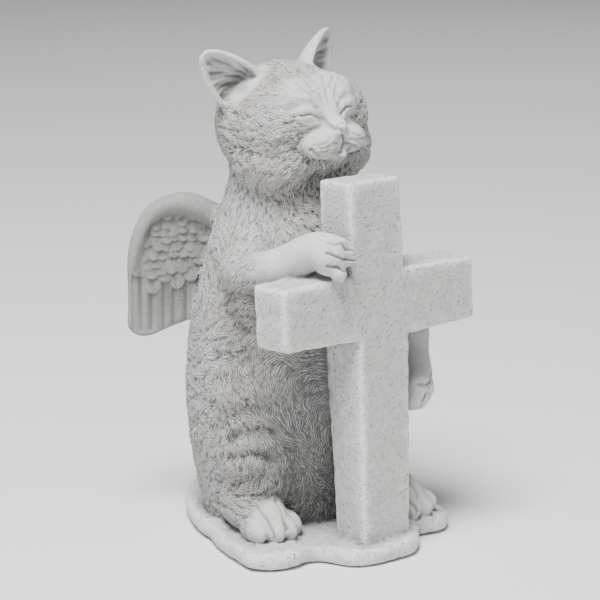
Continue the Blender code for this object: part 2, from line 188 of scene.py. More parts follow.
class StageSettings(bpy.types.PropertyGroup):
    """The floor, the lights and the camera."""

    floor: bpy.props.FloatVectorProperty(
        name="Floor", description="Colour of the floor", subtype="COLOR", default=(0.80, 0.80, 0.79)
    )
    floor_size: bpy.props.FloatProperty(
        name="Floor size", description="Length of the floor's side", default=8.0, unit="LENGTH"
    )
    azimuth: bpy.props.FloatProperty(
        name="Azimuth", description="The camera's turn round the statue", default=math.radians(-40.6),
        subtype="ANGLE",
    )
    elevation: bpy.props.FloatProperty(
        name="Elevation", description="The camera's angle above the level", default=math.radians(13.23),
        subtype="ANGLE",
    )
    distance: bpy.props.FloatProperty(
        name="Distance", description="From the camera to what it looks at", default=1.6774, unit="LENGTH"
    )
    field: bpy.props.FloatProperty(
        name="Field of view", description="The camera's angle of view", default=math.radians(12),
        subtype="ANGLE",
    )


# Easing and distance

def ramp(values, low, high):
    """0 at low, 1 at high, eased between."""
    share = np.clip((values - low) / (high - low), 0, 1)
    return share * share * (3 - 2 * share)


def off_ball(places, centre, radii):
    """How far outside a stretched ball each place is, as a share of its radii, 1 on its surface."""
    return np.linalg.norm((places - centre) / radii, axis=1)


# Closed shells, each a new object

def new_object(name, points, faces):
    """A mesh object made from points and faces, linked to the scene."""
    mesh = bpy.data.meshes.new(name)
    mesh.from_pydata(points, [], faces)
    made = bpy.data.objects.new(name, mesh)
    bpy.context.scene.collection.objects.link(made)
    return made


def ball(space, centre, radii, turn=(0, 0, 0)):
    """A ball stretched to three radii and turned by degrees about X, Y and Z, in that order."""
    matrix = space @ Matrix.Translation(centre)
    for angle, axis in zip(reversed(turn), "ZYX"):
        matrix = matrix @ Matrix.Rotation(math.radians(angle), 4, axis)
    bpy.ops.mesh.primitive_ico_sphere_add(subdivisions=4, radius=1)
    made = bpy.context.object
    made.data.transform(matrix @ Matrix.Diagonal((*radii, 1)))
    return made


def loft(rings):
    """A closed shell through rings of equal count, capped at both ends."""
    count = len(rings[0])
    faces = []
    for level in range(len(rings) - 1):
        for i in range(count):
            low = level * count
            j = (i + 1) % count
            faces.append((low + i, low + j, low + count + j, low + count + i))
    faces.append(tuple(reversed(range(count))))
    faces.append(tuple(range((len(rings) - 1) * count, len(rings) * count)))
    return new_object("loft", [point for ring in rings for point in ring], faces)


def smooth_rows(rows, steps):
    """Rows of numbers interpolated by a Catmull-Rom curve, with steps points for each span."""
    rows = np.array(rows, float)
    padded = np.vstack([2 * rows[0] - rows[1], rows, 2 * rows[-1] - rows[-2]])
    found = []
    for a, b, c, d in zip(padded, padded[1:], padded[2:], padded[3:]):
        for t in np.arange(steps) / steps:
            found.append(
                0.5 * (2 * b + (c - a) * t + (2 * a - 5 * b + 4 * c - d) * t**2
                       + (3 * b - a - 3 * c + d) * t**3)
            )
    return np.array([*found, rows[-1]])


def limb(space, rows, sides=24):
    """A round tube along (x, y, z, radius) rows with a ball at either end."""
    rows = smooth_rows(rows, 6)
    rings = []
    for i, row in enumerate(rows):
        ahead = Vector(rows[min(i + 1, len(rows) - 1)][:3])
        behind = Vector(rows[max(i - 1, 0)][:3])
        turn = (ahead - behind).to_track_quat("Z", "Y").to_matrix()
        ring = []
        for k in range(sides):
            angle = 2 * math.pi * k / sides
            spoke = Vector((math.cos(angle), math.sin(angle), 0)) * row[3]
            ring.append(space @ (Vector(row[:3]) + turn @ spoke))
        rings.append(ring)
    return [loft(rings), *(ball(space, row[:3], (row[3],) * 3) for row in (rows[0], rows[-1]))]


def upright_body(rows, sides=64):
    """The torso: (height, half width, half depth, centre y) rows lofted upwards."""
    rings = []
    for z, half_width, half_depth, y in smooth_rows(rows, 5):
        ring = []
        for k in range(sides):
            angle = 2 * math.pi * k / sides
            place = (half_width * math.cos(angle), y + half_depth * math.sin(angle), z)
            ring.append(FIGURE @ Vector(place))
        rings.append(ring)
    return loft(rings)


EAR_ROOT = (25.5, 2, 27)
EAR_TIPS = {-1: (-51, 14, 59.8), 1: (48.5, 15, 57.6)}
EAR_WALL = 3.4
# Crescents of an ear: (share of its length, half width, bulge)
EAR_RINGS = [
    (0, 17, 17), (0.3, 16.6, 15.5), (0.55, 14.4, 12.5), (0.75, 11.2, 9), (0.9, 7.6, 5.6), (1, 3.6, 2.6),
]


def ear_frame(side):
    """(root, tip, unit vector across the ear, unit vector out of its opening) in the head's frame."""
    root = Vector((EAR_ROOT[0] * side, *EAR_ROOT[1:]))
    tip = Vector(EAR_TIPS[side])
    axis = (tip - root).normalized()
    opening = Vector((0.55 * side, -0.80, 0.1))
    opening = (opening - axis * opening.dot(axis)).normalized()
    return root, tip, axis.cross(opening), opening


def ear(side):
    """A cupped ear, lofted through its crescents from inside the skull to its tip."""
    root, tip, across, opening = ear_frame(side)
    angles = [math.pi * k / 16 for k in range(17)]
    rings = []
    for share, half_width, bulge in smooth_rows(EAR_RINGS, 6):
        centre = root.lerp(tip, share)
        ring = []
        for angle in angles:
            ring.append(centre + across * half_width * math.cos(angle) - opening * bulge * math.sin(angle))
        for angle in reversed(angles):
            inner_width = max(half_width - EAR_WALL, 0.8)
            inner_bulge = max(bulge - EAR_WALL, 0.2)
            ring.append(centre + across * inner_width * math.cos(angle)
                        - opening * (inner_bulge * math.sin(angle) - 1.2))
        rings.append([HEAD @ point for point in ring])
    return loft(rings)


def carve_ears(skin):
    """Tufts inside each ear, fanning up and outwards from its root over a deep hollow."""
    head = skin.local(HEAD)
    turn = np.array(HEAD)[:3, :3] / UNIT
    facing = skin.normals @ turn
    for side in (-1, 1):
        root, tip, across, opening = ear_frame(side)
        axis = np.array((tip - root).normalized())
        apart = head - np.array(root)
        share = apart @ axis / (tip - root).length
        aside = apart @ np.array(across) * side
        out = apart @ np.array(opening)
        rings = np.array(EAR_RINGS)
        half_width = np.interp(share, rings[:, 0], rings[:, 1]) - EAR_WALL
        held = (share > 0.22) & (share < 0.95) & (np.abs(aside) < half_width) & (out < 3) & (out > -18)
        held = held & (facing @ np.array(opening) > 0.05)
        edge = ramp(half_width - np.abs(aside), 0.2, 2.5) * ramp(share, 0.24, 0.34)
        edge *= ramp(0.9 - share, 0, 0.1)
        reach = np.hypot(aside + 9, (share - 0.15) * 42)
        fan = np.arctan2((share - 0.15) * 42, aside + 9)
        ridges = 0.7 * np.sin(fan * 17 + 0.07 * reach + 1.2 * np.sin(reach / 4.5))
        ridges += 0.4 * np.sin(fan * 41 + 1.5 * np.sin(reach / 3.2))
        push = held * edge * (0.95 * ridges - 2.6 * ramp(0.5 - share, 0, 0.25))
        skin.points += skin.normals * (push * UNIT)[:, None]
    skin.update()


def paw(space, centre, radii, toes):
    """A rounded paw with toes, each given by the centre and the radius of its end."""
    made = [ball(space, centre, radii)]
    for *toe, radius in toes:
        back = Vector(toe).lerp(Vector(centre), 0.55)
        made += limb(space, [(*back, radius * 0.95), (*toe, radius)], sides=12)
    return made


# Wings: where they spring from the back, and their outline as (span, height)
WING_ROOT = (-12, 40, 0)
WING_SPREAD = math.radians(30)
WING_HALF_THICKNESS = 3.4
WING_OUTLINE = [
    (-6, 178), (6, 187), (15, 194), (24, 199.5), (34, 200.5), (44, 198), (53, 193), (60, 183), (65, 170),
    (68, 156), (68, 140), (68, 124), (68.5, 115), (64, 109), (55, 107.5), (43, 112), (29, 117), (12, 122),
    (-6, 126),
]
# The rolled rim along the leading edge: (span, height, radius)
WING_RIM = [
    (-2, 175, 7.5), (10, 183.5, 7.8), (22, 190, 7.5), (34, 193.5, 6.8), (44, 192, 6), (52, 187.5, 5.4),
    (58, 179, 5), (62, 168, 4.7), (64.2, 159, 4), (65.6, 151, 2.8), (66.2, 143, 1.6),
]
# Small coverts, from the rim down: (height of their tips, first span, last span, count, half width)
COVERT_ROWS = [
    (181.5, 24, 46, 4, 3.1), (177, 17, 50, 6, 3.3), (172.3, 13, 55, 7, 3.5), (167.5, 9, 57, 8, 3.6),
    (162.5, 8, 59, 8, 3.8), (157.3, 8, 60, 8, 3.9), (152, 8, 60, 8, 4.1), (146.5, 8, 54, 7, 4.2),
]
# Large coverts over the flight feathers: (span, height of the tip, half width)
LARGE_COVERTS = [
    (61.5, 146.5, 6.5), (52, 135, 5.0), (44, 142, 4.6), (36.5, 137.5, 5.0), (27.5, 142, 4.8),
    (19.5, 146, 4.6),
]
# The curved lower edge of the folded covert that ends the rim: (span, height)
COVERT_ARC = [(50.6, 148.9), (56.5, 145.3), (61.1, 147), (64.6, 151), (67.2, 156)]
# Spans of the lines between the flight feathers, from the wing's tip in
PRIMARY_EDGES = [67, 60, 53.5, 45.4, 39, 31, 23.5, 15, 6]


def wing_frame(side):
    """Maps (span, height, outwards from the front face) to the world. side is 1 for the cat's left."""
    span = Vector((side * math.cos(WING_SPREAD), math.sin(WING_SPREAD), 0))
    front = Vector((side * math.sin(WING_SPREAD), -math.cos(WING_SPREAD), 0))
    root = Vector((-side * WING_ROOT[0], WING_ROOT[1], WING_ROOT[2]))
    turn = Matrix((span, (0, 0, 1), front)).transposed().to_4x4()
    return FIGURE @ Matrix.Translation(root) @ turn


def wing(side):
    """A wing: a thin panel with a rolled rim along its leading edge."""
    space = wing_frame(side)
    outline = smooth_rows(WING_OUTLINE, 4)
    middle = outline.mean(axis=0)
    layers = []
    for depth, inset in ((-1, 1.6), (-0.5, 0.2), (0.2, 0.0), (0.75, 1.6)):
        ring = []
        for point in outline:
            away = (point - middle) / np.linalg.norm(point - middle)
            ring.append(space @ Vector((*(point - away * inset), depth * WING_HALF_THICKNESS)))
        layers.append(ring)
    rim = limb(space, [(span, height, 1.2, radius) for span, height, radius in WING_RIM])
    return [loft(layers), *rim]


def scale_relief(spans, heights, span, tip, half_width, proud):
    """A feather like a scale: proud at its rounded tip, sinking upwards under the row above."""
    across = (spans - span) / half_width
    up = (heights - tip) / half_width
    round_tip = np.clip(1 - across**2, 0, 1) ** 0.5
    edge = ramp(up - 1 + round_tip, -0.02, 0.22)
    rise = np.clip(1 - 0.36 * up, 0, 1)
    return proud * edge * rise * (0.45 + 0.55 * round_tip) * (np.abs(across) < 1) * (up < 3)


def wing_relief(spans, heights, chance):
    """How proud a wing's feathers stand at each span and height, in units."""
    relief = np.zeros(len(spans))
    for left, right in zip(PRIMARY_EDGES, PRIMARY_EDGES[1:]):
        share = (spans - (left + right) / 2) / ((left - right) / 2)
        inside = np.abs(share) < 1
        relief = np.maximum(relief, inside * 1.3 * np.cos(np.clip(share, -1, 1) * math.pi / 2) ** 0.8)
    for row, (tip, first, last, count, half_width) in enumerate(COVERT_ROWS):
        step = (last - first) / count
        for k in range(count):
            span = first + step * (k + 0.3 + 0.5 * (row % 2)) + chance.uniform(-1.1, 1.1)
            low = tip - 0.003 * (span - 34) ** 2 + chance.uniform(-1.3, 1.3)
            size = half_width * chance.uniform(0.85, 1.25)
            proud = chance.uniform(2.2, 3.3)
            relief = np.maximum(relief, scale_relief(spans, heights, span, low, size, proud))
    for span, tip, half_width in LARGE_COVERTS:
        relief = np.maximum(relief, scale_relief(spans, heights, span, tip, half_width, 2.9))
    arc = np.array(COVERT_ARC)
    outer = ramp(heights - np.interp(spans, arc[:, 0], arc[:, 1]), 0, 1.2) * ramp(spans, 56, 59)
    return relief * (1 - outer) + 1.9 * outer


# The slab's outline from the middle of its back round its right side, as shares of width and depth
SLAB_OUTLINE = [
    (0.0, 0.99), (-0.08, 0.952), (-0.165, 0.885), (-0.235, 0.815), (-0.3, 0.735), (-0.355, 0.635),
    (-0.4, 0.52), (-0.445, 0.425), (-0.474, 0.345), (-0.492, 0.285), (-0.502, 0.222), (-0.478, 0.19),
    (-0.445, 0.168), (-0.398, 0.154), (-0.35, 0.15), (-0.296, 0.16), (-0.252, 0.147), (-0.228, 0.1),
    (-0.205, 0.058), (-0.165, 0.027), (-0.11, 0.008), (-0.05, 0.005), (0.0, 0.007), (0.04, 0.008),
    (0.085, 0.024), (0.14, 0.06), (0.187, 0.103), (0.22, 0.135), (0.26, 0.13), (0.318, 0.121),
    (0.368, 0.142), (0.405, 0.168), (0.43, 0.215), (0.442, 0.28), (0.446, 0.35), (0.445, 0.42),
    (0.43, 0.51), (0.39, 0.62), (0.33, 0.75), (0.24, 0.87), (0.12, 0.955),
]


def slab():
    """The slab, with a rounded rim, standing on z = 0."""
    outline = smooth_rows([*SLAB_OUTLINE, SLAB_OUTLINE[0]], 3)[:-1]
    points = np.column_stack([outline[:, 0] * SLAB_WIDTH, SLAB_FRONT_Y + outline[:, 1] * SLAB_DEPTH])
    ahead = np.roll(points, -1, axis=0) - np.roll(points, 1, axis=0)
    outward = np.column_stack([ahead[:, 1], -ahead[:, 0]])
    outward /= np.linalg.norm(outward, axis=1)[:, None]
    if ((points - points.mean(axis=0)) * outward).sum() < 0:
        outward = -outward
    rings = []
    for step in range(SLAB_RINGS):
        tilt = 2 * step / (SLAB_RINGS - 1) - 1
        height = SLAB_THICKNESS / 2 * (1 + math.sin(math.pi / 2 * tilt))
        inset = SLAB_EDGE_RADIUS * (1 - math.cos(math.pi / 2 * tilt * SLAB_FLAT_SHARE))
        rings.append([Vector((*(point - away * inset), height)) for point, away in zip(points, outward)])
    return loft(rings)


def cross_outline(drift):
    """The twelve corners (x, z) of one face of the cross, each moved by its drift."""
    half_bar = BAR_LENGTH / 2
    end = BAR_END_HEIGHT / 2
    middle = BAR_MIDDLE_HEIGHT / 2
    side = [
        (UPRIGHT_FOOT_WIDTH / 2, -CROSS_SINK),
        (UPRIGHT_MIDDLE_WIDTH / 2, BAR_CENTRE_HEIGHT - middle),
        (half_bar, BAR_CENTRE_HEIGHT - end),
        (half_bar, BAR_CENTRE_HEIGHT + end),
        (UPRIGHT_MIDDLE_WIDTH / 2, BAR_CENTRE_HEIGHT + middle),
        (UPRIGHT_TOP_WIDTH / 2, CROSS_HEIGHT),
    ]
    outline = side + [(-x, z) for x, z in reversed(side)]
    return [(x + off, z + rise) for (x, z), (off, rise) in zip(outline, drift)]


def cross():
    """The cross: two outlines joined by its depth, with rounded edges, leaning on its foot."""
    thicken = (CROSS_TOP_DEPTH - CROSS_DEPTH) / CROSS_HEIGHT
    points = [(x, 0, z) for x, z in cross_outline(CROSS_FRONT_DRIFT)]
    points += [(x, CROSS_DEPTH + z * thicken, z) for x, z in cross_outline(CROSS_BACK_DRIFT)]
    count = len(points) // 2
    faces = [tuple(range(count)), tuple(reversed(range(count, 2 * count)))]
    for i in range(count):
        before = (i - 1) % count
        faces.append((i, i + count, before + count, before))
    made = new_object("cross", points, faces)
    made_active(made)
    bpy.ops.object.mode_set(mode="EDIT")
    bpy.ops.mesh.select_all(action="SELECT")
    bpy.ops.mesh.normals_make_consistent(inside=False)
    bpy.ops.mesh.bevel(offset=CROSS_EDGE_RADIUS, segments=3, affect="EDGES")
    bpy.ops.object.mode_set(mode="OBJECT")
    made.data.transform(CROSS)
    return made


# Blocking out the cat

def main_masses():
    """The torso, the skull, the cheeks, the haunches and the shoulders."""
    made = [
        upright_body(
            [
                (-4, 52, 47, 4), (20, 57.5, 53.5, 3), (53, 63, 62, 1.5), (85, 64, 66, 0), (118, 61, 63, 0),
                (150, 54.5, 54.5, 0), (180, 47.5, 47.5, 0), (203, 39, 39.5, 0), (225, 35, 36, 0),
            ],
        ),
        ball(HEAD, (0, 4.5, 8), (43, 44, 38.5)),
        ball(HEAD, (0, -26, 2), (25, 25, 21)),
        ball(FIGURE, (-42, -18, 46), (23, 31, 43), (0, 0, -12)),
        ball(FIGURE, (39, -18, 46), (22, 31, 43), (0, 0, 12)),
        ball(FIGURE, (-46, -22, 148), (15, 17, 22)),
    ]
    for side in (-1, 1):
        made += [
            ball(HEAD, (22 * side, -13.5, 11), (22, 25, 26)),
            ball(HEAD, (22 * side + 1.5, -8.5, -8.5), (24, 30, 23.5)),
            ball(HEAD, (11 * side, -22, 25), (18, 20, 17)),
            ball(FIGURE, (34 * side, -5, 163), (21, 26, 30)),
        ]
    return made


def right_arm():
    """The cat's right arm, over the bar and round the upright's near edge, which fixes its paw."""
    height = (BAR_CENTRE_HEIGHT + BAR_MIDDLE_HEIGHT / 2) / UNIT + 11
    front = (CROSS_FRONT_Y + math.tan(CROSS_LEAN) * BAR_CENTRE_HEIGHT - BODY_Y) / UNIT
    edge = -UPRIGHT_MIDDLE_WIDTH / 2 / UNIT
    toes = [
        (edge - 11.5, front - 1.5, height + 9.5, 3.4), (edge - 6, front - 2.5, height + 4, 3.4),
        (edge - 4.2, front - 2.5, height - 2.7, 3.6), (edge - 14.5, front - 2, height - 9.5, 5.2),
    ]
    return [
        *limb(
            FIGURE,
            [
                (-38, -12, 168, 18), (-51, -17, 163.5, 14.5), (-53.5, -27, 163.5, 12.6),
                (-50.5, -39, 167, 12.3), (-44, -52, 172.5, 12.2),
                (edge - 18, front + 16, height + 2.6, 11.2), (edge - 12, front + 7, height + 2, 10.8),
            ],
        ),
        *paw(FIGURE, (edge - 15, front + 6, height), (12, 11, 12), toes),
    ]


def left_arm():
    """The cat's left arm, hanging behind the bar, with its paw against the upright's back edge."""
    back = (CROSS_FRONT_Y + CROSS_DEPTH - BODY_Y) / UNIT
    toes = [
        (38.5, back - 5, 74.5, 4.6), (42.5, back - 8, 75.5, 4.6), (47.5, back - 7, 78, 4.4),
        (52, back - 1, 80, 4.2),
    ]
    return [
        *limb(
            FIGURE,
            [
                (38, -14, 166, 18), (58, -19, 147, 15.5), (66, -29, 129, 13.5), (64, -43, 113, 12.3),
                (59, -51, 100, 11), (53, back + 6, 90, 10),
            ],
        ),
        *paw(FIGURE, (48.5, back + 1, 83), (11, 11, 11), toes),
    ]


def foot(side, x, y):
    """A hind foot with its instep and four toes. x and y place the middle of its toes."""
    made = [
        ball(FIGURE, ((x - 2) * side, y + 25, 12), (15.5, 33, 15), (0, 0, 10 * side)),
        ball(FIGURE, ((x - 5) * side, y + 33, 20), (16.5, 24, 18), (10, 0, 10 * side)),
    ]
    for across, behind in ((14.5, 5), (5.2, -1.5), (-5, -1.5), (-13.5, 4.5)):
        centre = ((x + across) * side, y + behind, 6.5)
        made.append(ball(FIGURE, centre, (5.6, 12.5, 7.8), (0, 0, 8 * side)))
    return made


def tail():
    """A plain tail, lying round the back of the cat's left side."""
    return limb(FIGURE, [(6, 52, 22, 11), (16, 60, 12, 10), (32, 57, 9, 9), (47, 46, 8, 8), (56, 32, 8, 7)])


def face():
    """The ears, the muzzle's puffs, lids and brows, the bridge, the nose and the chin."""
    made = [ear(-1), ear(1)]
    for side, shift in ((-1, 0.8), (1, 1.2)):
        made += [
            ball(HEAD, (10.5 * side + shift, -41.5, 2.8), (12, 12.5, 9.3), (0, 6 * side, 24 * side)),
            ball(HEAD, (16 * side, -35.5, 21.5), (12, 7.5, 8.5), (8, -8 * side, 24 * side)),
            ball(HEAD, (14 * side, -32, 30), (14, 7.5, 7), (0, -14 * side, 22 * side)),
        ]
    made += [
        ball(HEAD, (0, -33.5, 21), (13, 12.5, 17), (-24, 0, 0)),
        ball(HEAD, (0.6, -45, 12), (7, 9, 6.5), (-20, 0, 0)),
        ball(HEAD, (0.6, -51.2, 11.8), (6, 4.4, 4.6)),
        ball(HEAD, (1, -37.5, -7), (8, 7, 6)),
        ball(HEAD, (1.7, -48.2, -4.9), (4.2, 3.8, 3.7)),
    ]
    return made


# Clay: fusing and smoothing

def made_active(made):
    """Select one object alone and make it the active one."""
    bpy.ops.object.select_all(action="DESELECT")
    made.select_set(True)
    bpy.context.view_layer.objects.active = made


# Stretched balls round the paws and the feet, where the skin's faces are halved: (centre, radii)
FINE_PAWS = (
    ((-32, -86, 180), (15, 14, 18)), ((46, -73, 79), (14, 14, 14)), ((-52, -58, 10), (22, 18, 14)),
    ((42.5, -74, 10), (20, 20, 14)),
)


def refine(made):
    """Halve the faces where the finest carving goes: the face, the paws, the feet and the wings."""
    mesh = made.data
    centres = np.empty(len(mesh.polygons) * 3)
    mesh.polygons.foreach_get("center", centres)
    centres = centres.reshape(-1, 3)

    def local(space):
        inverse = np.array(space.inverted())
        return centres @ inverse[:3, :3].T + inverse[:3, 3]

    head = local(HEAD)
    figure = local(FIGURE)
    chosen = (head[:, 1] < -28) & (np.abs(head[:, 0]) < 32) & (head[:, 2] > -16) & (head[:, 2] < 40)
    for centre, radii in FINE_PAWS:
        chosen |= off_ball(figure, centre, radii) < 1
    for side in (-1, 1):
        winged = local(wing_frame(side))
        flat = (np.abs(winged[:, 2]) < 8) & (winged[:, 1] > 104) & (winged[:, 0] > 8)
        chosen |= flat & (head[:, 2] < -30)
    made_active(made)
    bpy.ops.object.mode_set(mode="EDIT")
    bpy.ops.mesh.select_mode(type="FACE")
    bpy.ops.mesh.select_all(action="DESELECT")
    bpy.ops.object.mode_set(mode="OBJECT")
    mesh.polygons.foreach_set("select", chosen)
    bpy.ops.object.mode_set(mode="EDIT")
    bpy.ops.mesh.subdivide(number_cuts=1)
    bpy.ops.object.mode_set(mode="OBJECT")


def fused(shells, voxel, rounds):
    """One closed skin round every shell, smoothed by a number of rounds."""
    made_active(shells[0])
    for shell in shells:
        shell.select_set(True)
    bpy.ops.object.join()
    made = bpy.context.object
    remesh = made.modifiers.new("fuse", "REMESH")
    remesh.mode = "VOXEL"
    remesh.voxel_size = voxel
    bpy.ops.object.modifier_apply(modifier=remesh.name)
    smooth = made.modifiers.new("smooth", "SMOOTH")
    smooth.factor = 0.5
    smooth.iterations = rounds
    bpy.ops.object.modifier_apply(modifier=smooth.name)
    return made


class Skin:
    """The vertices of a mesh as arrays, and the strokes that carve them."""

    def __init__(self, made):
        self.mesh = made.data
        self.count = len(self.mesh.vertices)
        self.points = self.read("co")
        self.normals = self.read("normal")

    def read(self, name):
        values = np.empty(self.count * 3)
        self.mesh.vertices.foreach_get(name, values)
        return values.reshape(-1, 3)

    def update(self):
        """Write the points back and take the new normals."""
        self.mesh.vertices.foreach_set("co", self.points.ravel())
        self.mesh.update()
        self.normals = self.read("normal")

    def neighbour_mean(self, values):
        """The mean of each point's neighbours, for an array of vectors."""
        if not hasattr(self, "ends"):
            ends = np.empty(len(self.mesh.edges) * 2, int)
            self.mesh.edges.foreach_get("vertices", ends)
            self.ends = ends.reshape(-1, 2).T
            self.degree = sum(np.bincount(end, minlength=self.count) for end in self.ends)
        one, two = self.ends
        total = np.empty_like(values)
        for axis in range(3):
            total[:, axis] = np.bincount(one, values[two, axis], self.count)
            total[:, axis] += np.bincount(two, values[one, axis], self.count)
        return total / self.degree[:, None]

    def soften(self, share, rounds):
        """Even out the skin where share is above 0."""
        for _ in range(rounds):
            self.points += (0.5 * share)[:, None] * (self.neighbour_mean(self.points) - self.points)
        self.update()

    def local(self, space):
        """The points in a frame's own units."""
        inverse = np.array(space.inverted())
        return self.points @ inverse[:3, :3].T + inverse[:3, 3]

    def near(self, space, path, radius):
        """(indices, distance as a share of radius) of the points near a path given in a frame."""
        nodes = [np.array(space @ Vector(node)) for node in path]
        reach = radius * UNIT
        low = np.min(nodes, axis=0) - reach
        high = np.max(nodes, axis=0) + reach
        found = np.flatnonzero(((self.points > low) & (self.points < high)).all(axis=1))
        places = self.points[found]
        nearest = np.full(len(found), np.inf)
        for start, end in zip(nodes, nodes[1:]):
            along = end - start
            share = np.clip((places - start) @ along / max(along @ along, 1e-12), 0, 1)
            nearest = np.minimum(nearest, np.linalg.norm(places - start - share[:, None] * along, axis=1))
        inside = nearest < reach
        return found[inside], nearest[inside] / reach

    def groove(self, space, path, radius, depth):
        """Press the skin in along a path, or raise it where depth is negative."""
        found, share = self.near(space, path, radius)
        fade = (1 - share**2) ** 2
        self.points[found] -= self.normals[found] * (fade * depth * UNIT)[:, None]

    def settled(self, space, path):
        """A path moved onto the skin: each of its points goes to the nearest vertex."""
        inverse = space.inverted()
        found = []
        for node in path:
            place = np.array(space @ Vector(node))
            nearest = np.argmin(((self.points - place) ** 2).sum(axis=1))
            found.append(tuple(inverse @ Vector(self.points[nearest])))
        return found


# The lower edge of the ruff, from the back of the head to under the chin
RUFF_EDGE = [
    (20, 34, -22), (32, 21, -24), (40, 4, -25), (40, -12, -25), (35, -26, -26), (26, -33, -27),
    (16, -38, -27), (8, -38, -27),
]
# Folds and swells of the body: (path, radius, depth), a swell where the depth is negative
BODY_CREASES = [
    ([(-64.9, -15.4, 57.9), (-64.7, -29.9, 64.9), (-60.4, -41.9, 69.2), (-53.6, -50, 68.4)], 5.5, 3.0),
    ([(-65.5, -19, 47.3), (-66.2, -36.4, 53.2), (-61.8, -47.4, 54.2)], 5, 2.6),
    ([(-58.7, -51.2, 50.6), (-57, -52, 49.6), (-56, -53, 49)], 7, 3.2),
    ([(-64, -24, 52), (-63, -40, 59), (-57, -50, 61)], 6, -1.6),
    ([(-66, -12, 84), (-60, -36, 90), (-46, -52, 92)], 12, -2.4),
    ([(-66, -4, 108), (-58, -30, 112), (-44, -48, 108)], 9, 2.0),
    ([(-40, -52, 150), (-24, -56, 176), (-8, -48, 196)], 10, -1.2),
    ([(-54, -22, 190), (-40, -42, 184), (-22, -52, 190)], 7, 1.0),
    ([(64, -15, 60), (63, -30, 65), (60, -42, 68)], 6, 2.2),
    ([(66, -10, 90), (62, -26, 92), (56, -38, 92)], 11, -1.8),
]
# Gaps between toes: (path, radius, depth) on the cat's body
TOE_GAPS = [
    ([(-60.5, -42, 19), (-61.8, -52, 14), (-62.6, -58, 8), (-62.8, -59, 3)], 1.5, 1.7),
    ([(-50.6, -44, 20), (-52, -56, 15), (-53.2, -63, 8), (-53.4, -64, 3)], 1.5, 1.8),
    ([(-41.4, -42, 19), (-42.6, -52, 14), (-43.6, -60, 8), (-43.8, -61, 3)], 1.5, 1.7),
    ([(33, -60, 22), (33, -76, 15), (33.5, -84, 8), (33.5, -85, 3)], 1.7, 2.1),
    ([(42.5, -60, 24), (43, -78, 16), (43, -86, 8), (43, -87, 3)], 1.7, 2.2),
    ([(52, -60, 22), (52.5, -76, 15), (52.5, -84, 8), (52.5, -85, 3)], 1.7, 2.1),
    ([(-42, -84, 192), (-36, -90, 190), (-32.8, -92, 187.1), (-25.6, -93, 184.5)], 1.5, 1.8),
    ([(-43, -86, 184.5), (-38.6, -90, 182.5), (-32.4, -94, 180), (-24, -94, 178.5)], 1.6, 2.2),
    ([(-43, -86, 177), (-38, -90, 176), (-33, -94, 174.5), (-26, -94, 172.5)], 1.7, 2.4),
    ([(38, -84, 91), (46, -88, 89), (54, -82, 89), (60, -72, 91)], 2.6, 2.8),
    ([(40.5, -88, 84), (40.2, -90, 77), (40, -84, 70)], 1.7, 2.5),
    ([(45, -88, 84), (45.2, -90, 77), (45.4, -84, 70)], 1.7, 2.5),
    ([(50.5, -84, 86), (51, -84, 79), (51, -80, 73)], 1.7, 2.5),
]


def carve_forms(skin):
    """The broad creases of the ruff, the thighs and the ears."""
    head = skin.local(HEAD)
    brow = ramp(1.25 - off_ball(head, (0, -36, 25), (27, 18, 14)), 0, 0.3)
    brow *= 1 - ramp(1.3 - off_ball(head, (0.6, -51.2, 11.8), (6, 5, 5)), 0, 0.3)
    skin.soften(brow, 26)
    neck = np.zeros(skin.count)
    for side in (-1, 1):
        found, share = skin.near(HEAD, [(x * side, y, z) for x, y, z in smooth_rows(RUFF_EDGE, 3)], 12)
        neck[found] = np.maximum(neck[found], (1 - share**2) ** 2)
    skin.soften(neck, 30)
    for side in (-1, 1):
        skin.groove(HEAD, [(30 * side, 4, 33), (36 * side, 9, 40)], 8, 2.2)
        skin.groove(FIGURE, [(66 * side, -20, 30), (60 * side, -45, 38)], 7, 2)
    for path, radius, depth in BODY_CREASES:
        skin.groove(FIGURE, skin.settled(FIGURE, smooth_rows(path, 3)), radius, depth)
    skin.update()


def carve_toes(skin):
    """The gaps between the toes of the feet and the paws."""
    for path, radius, depth in TOE_GAPS:
        skin.groove(FIGURE, skin.settled(FIGURE, smooth_rows(path, 4)), radius, depth)
    skin.update()


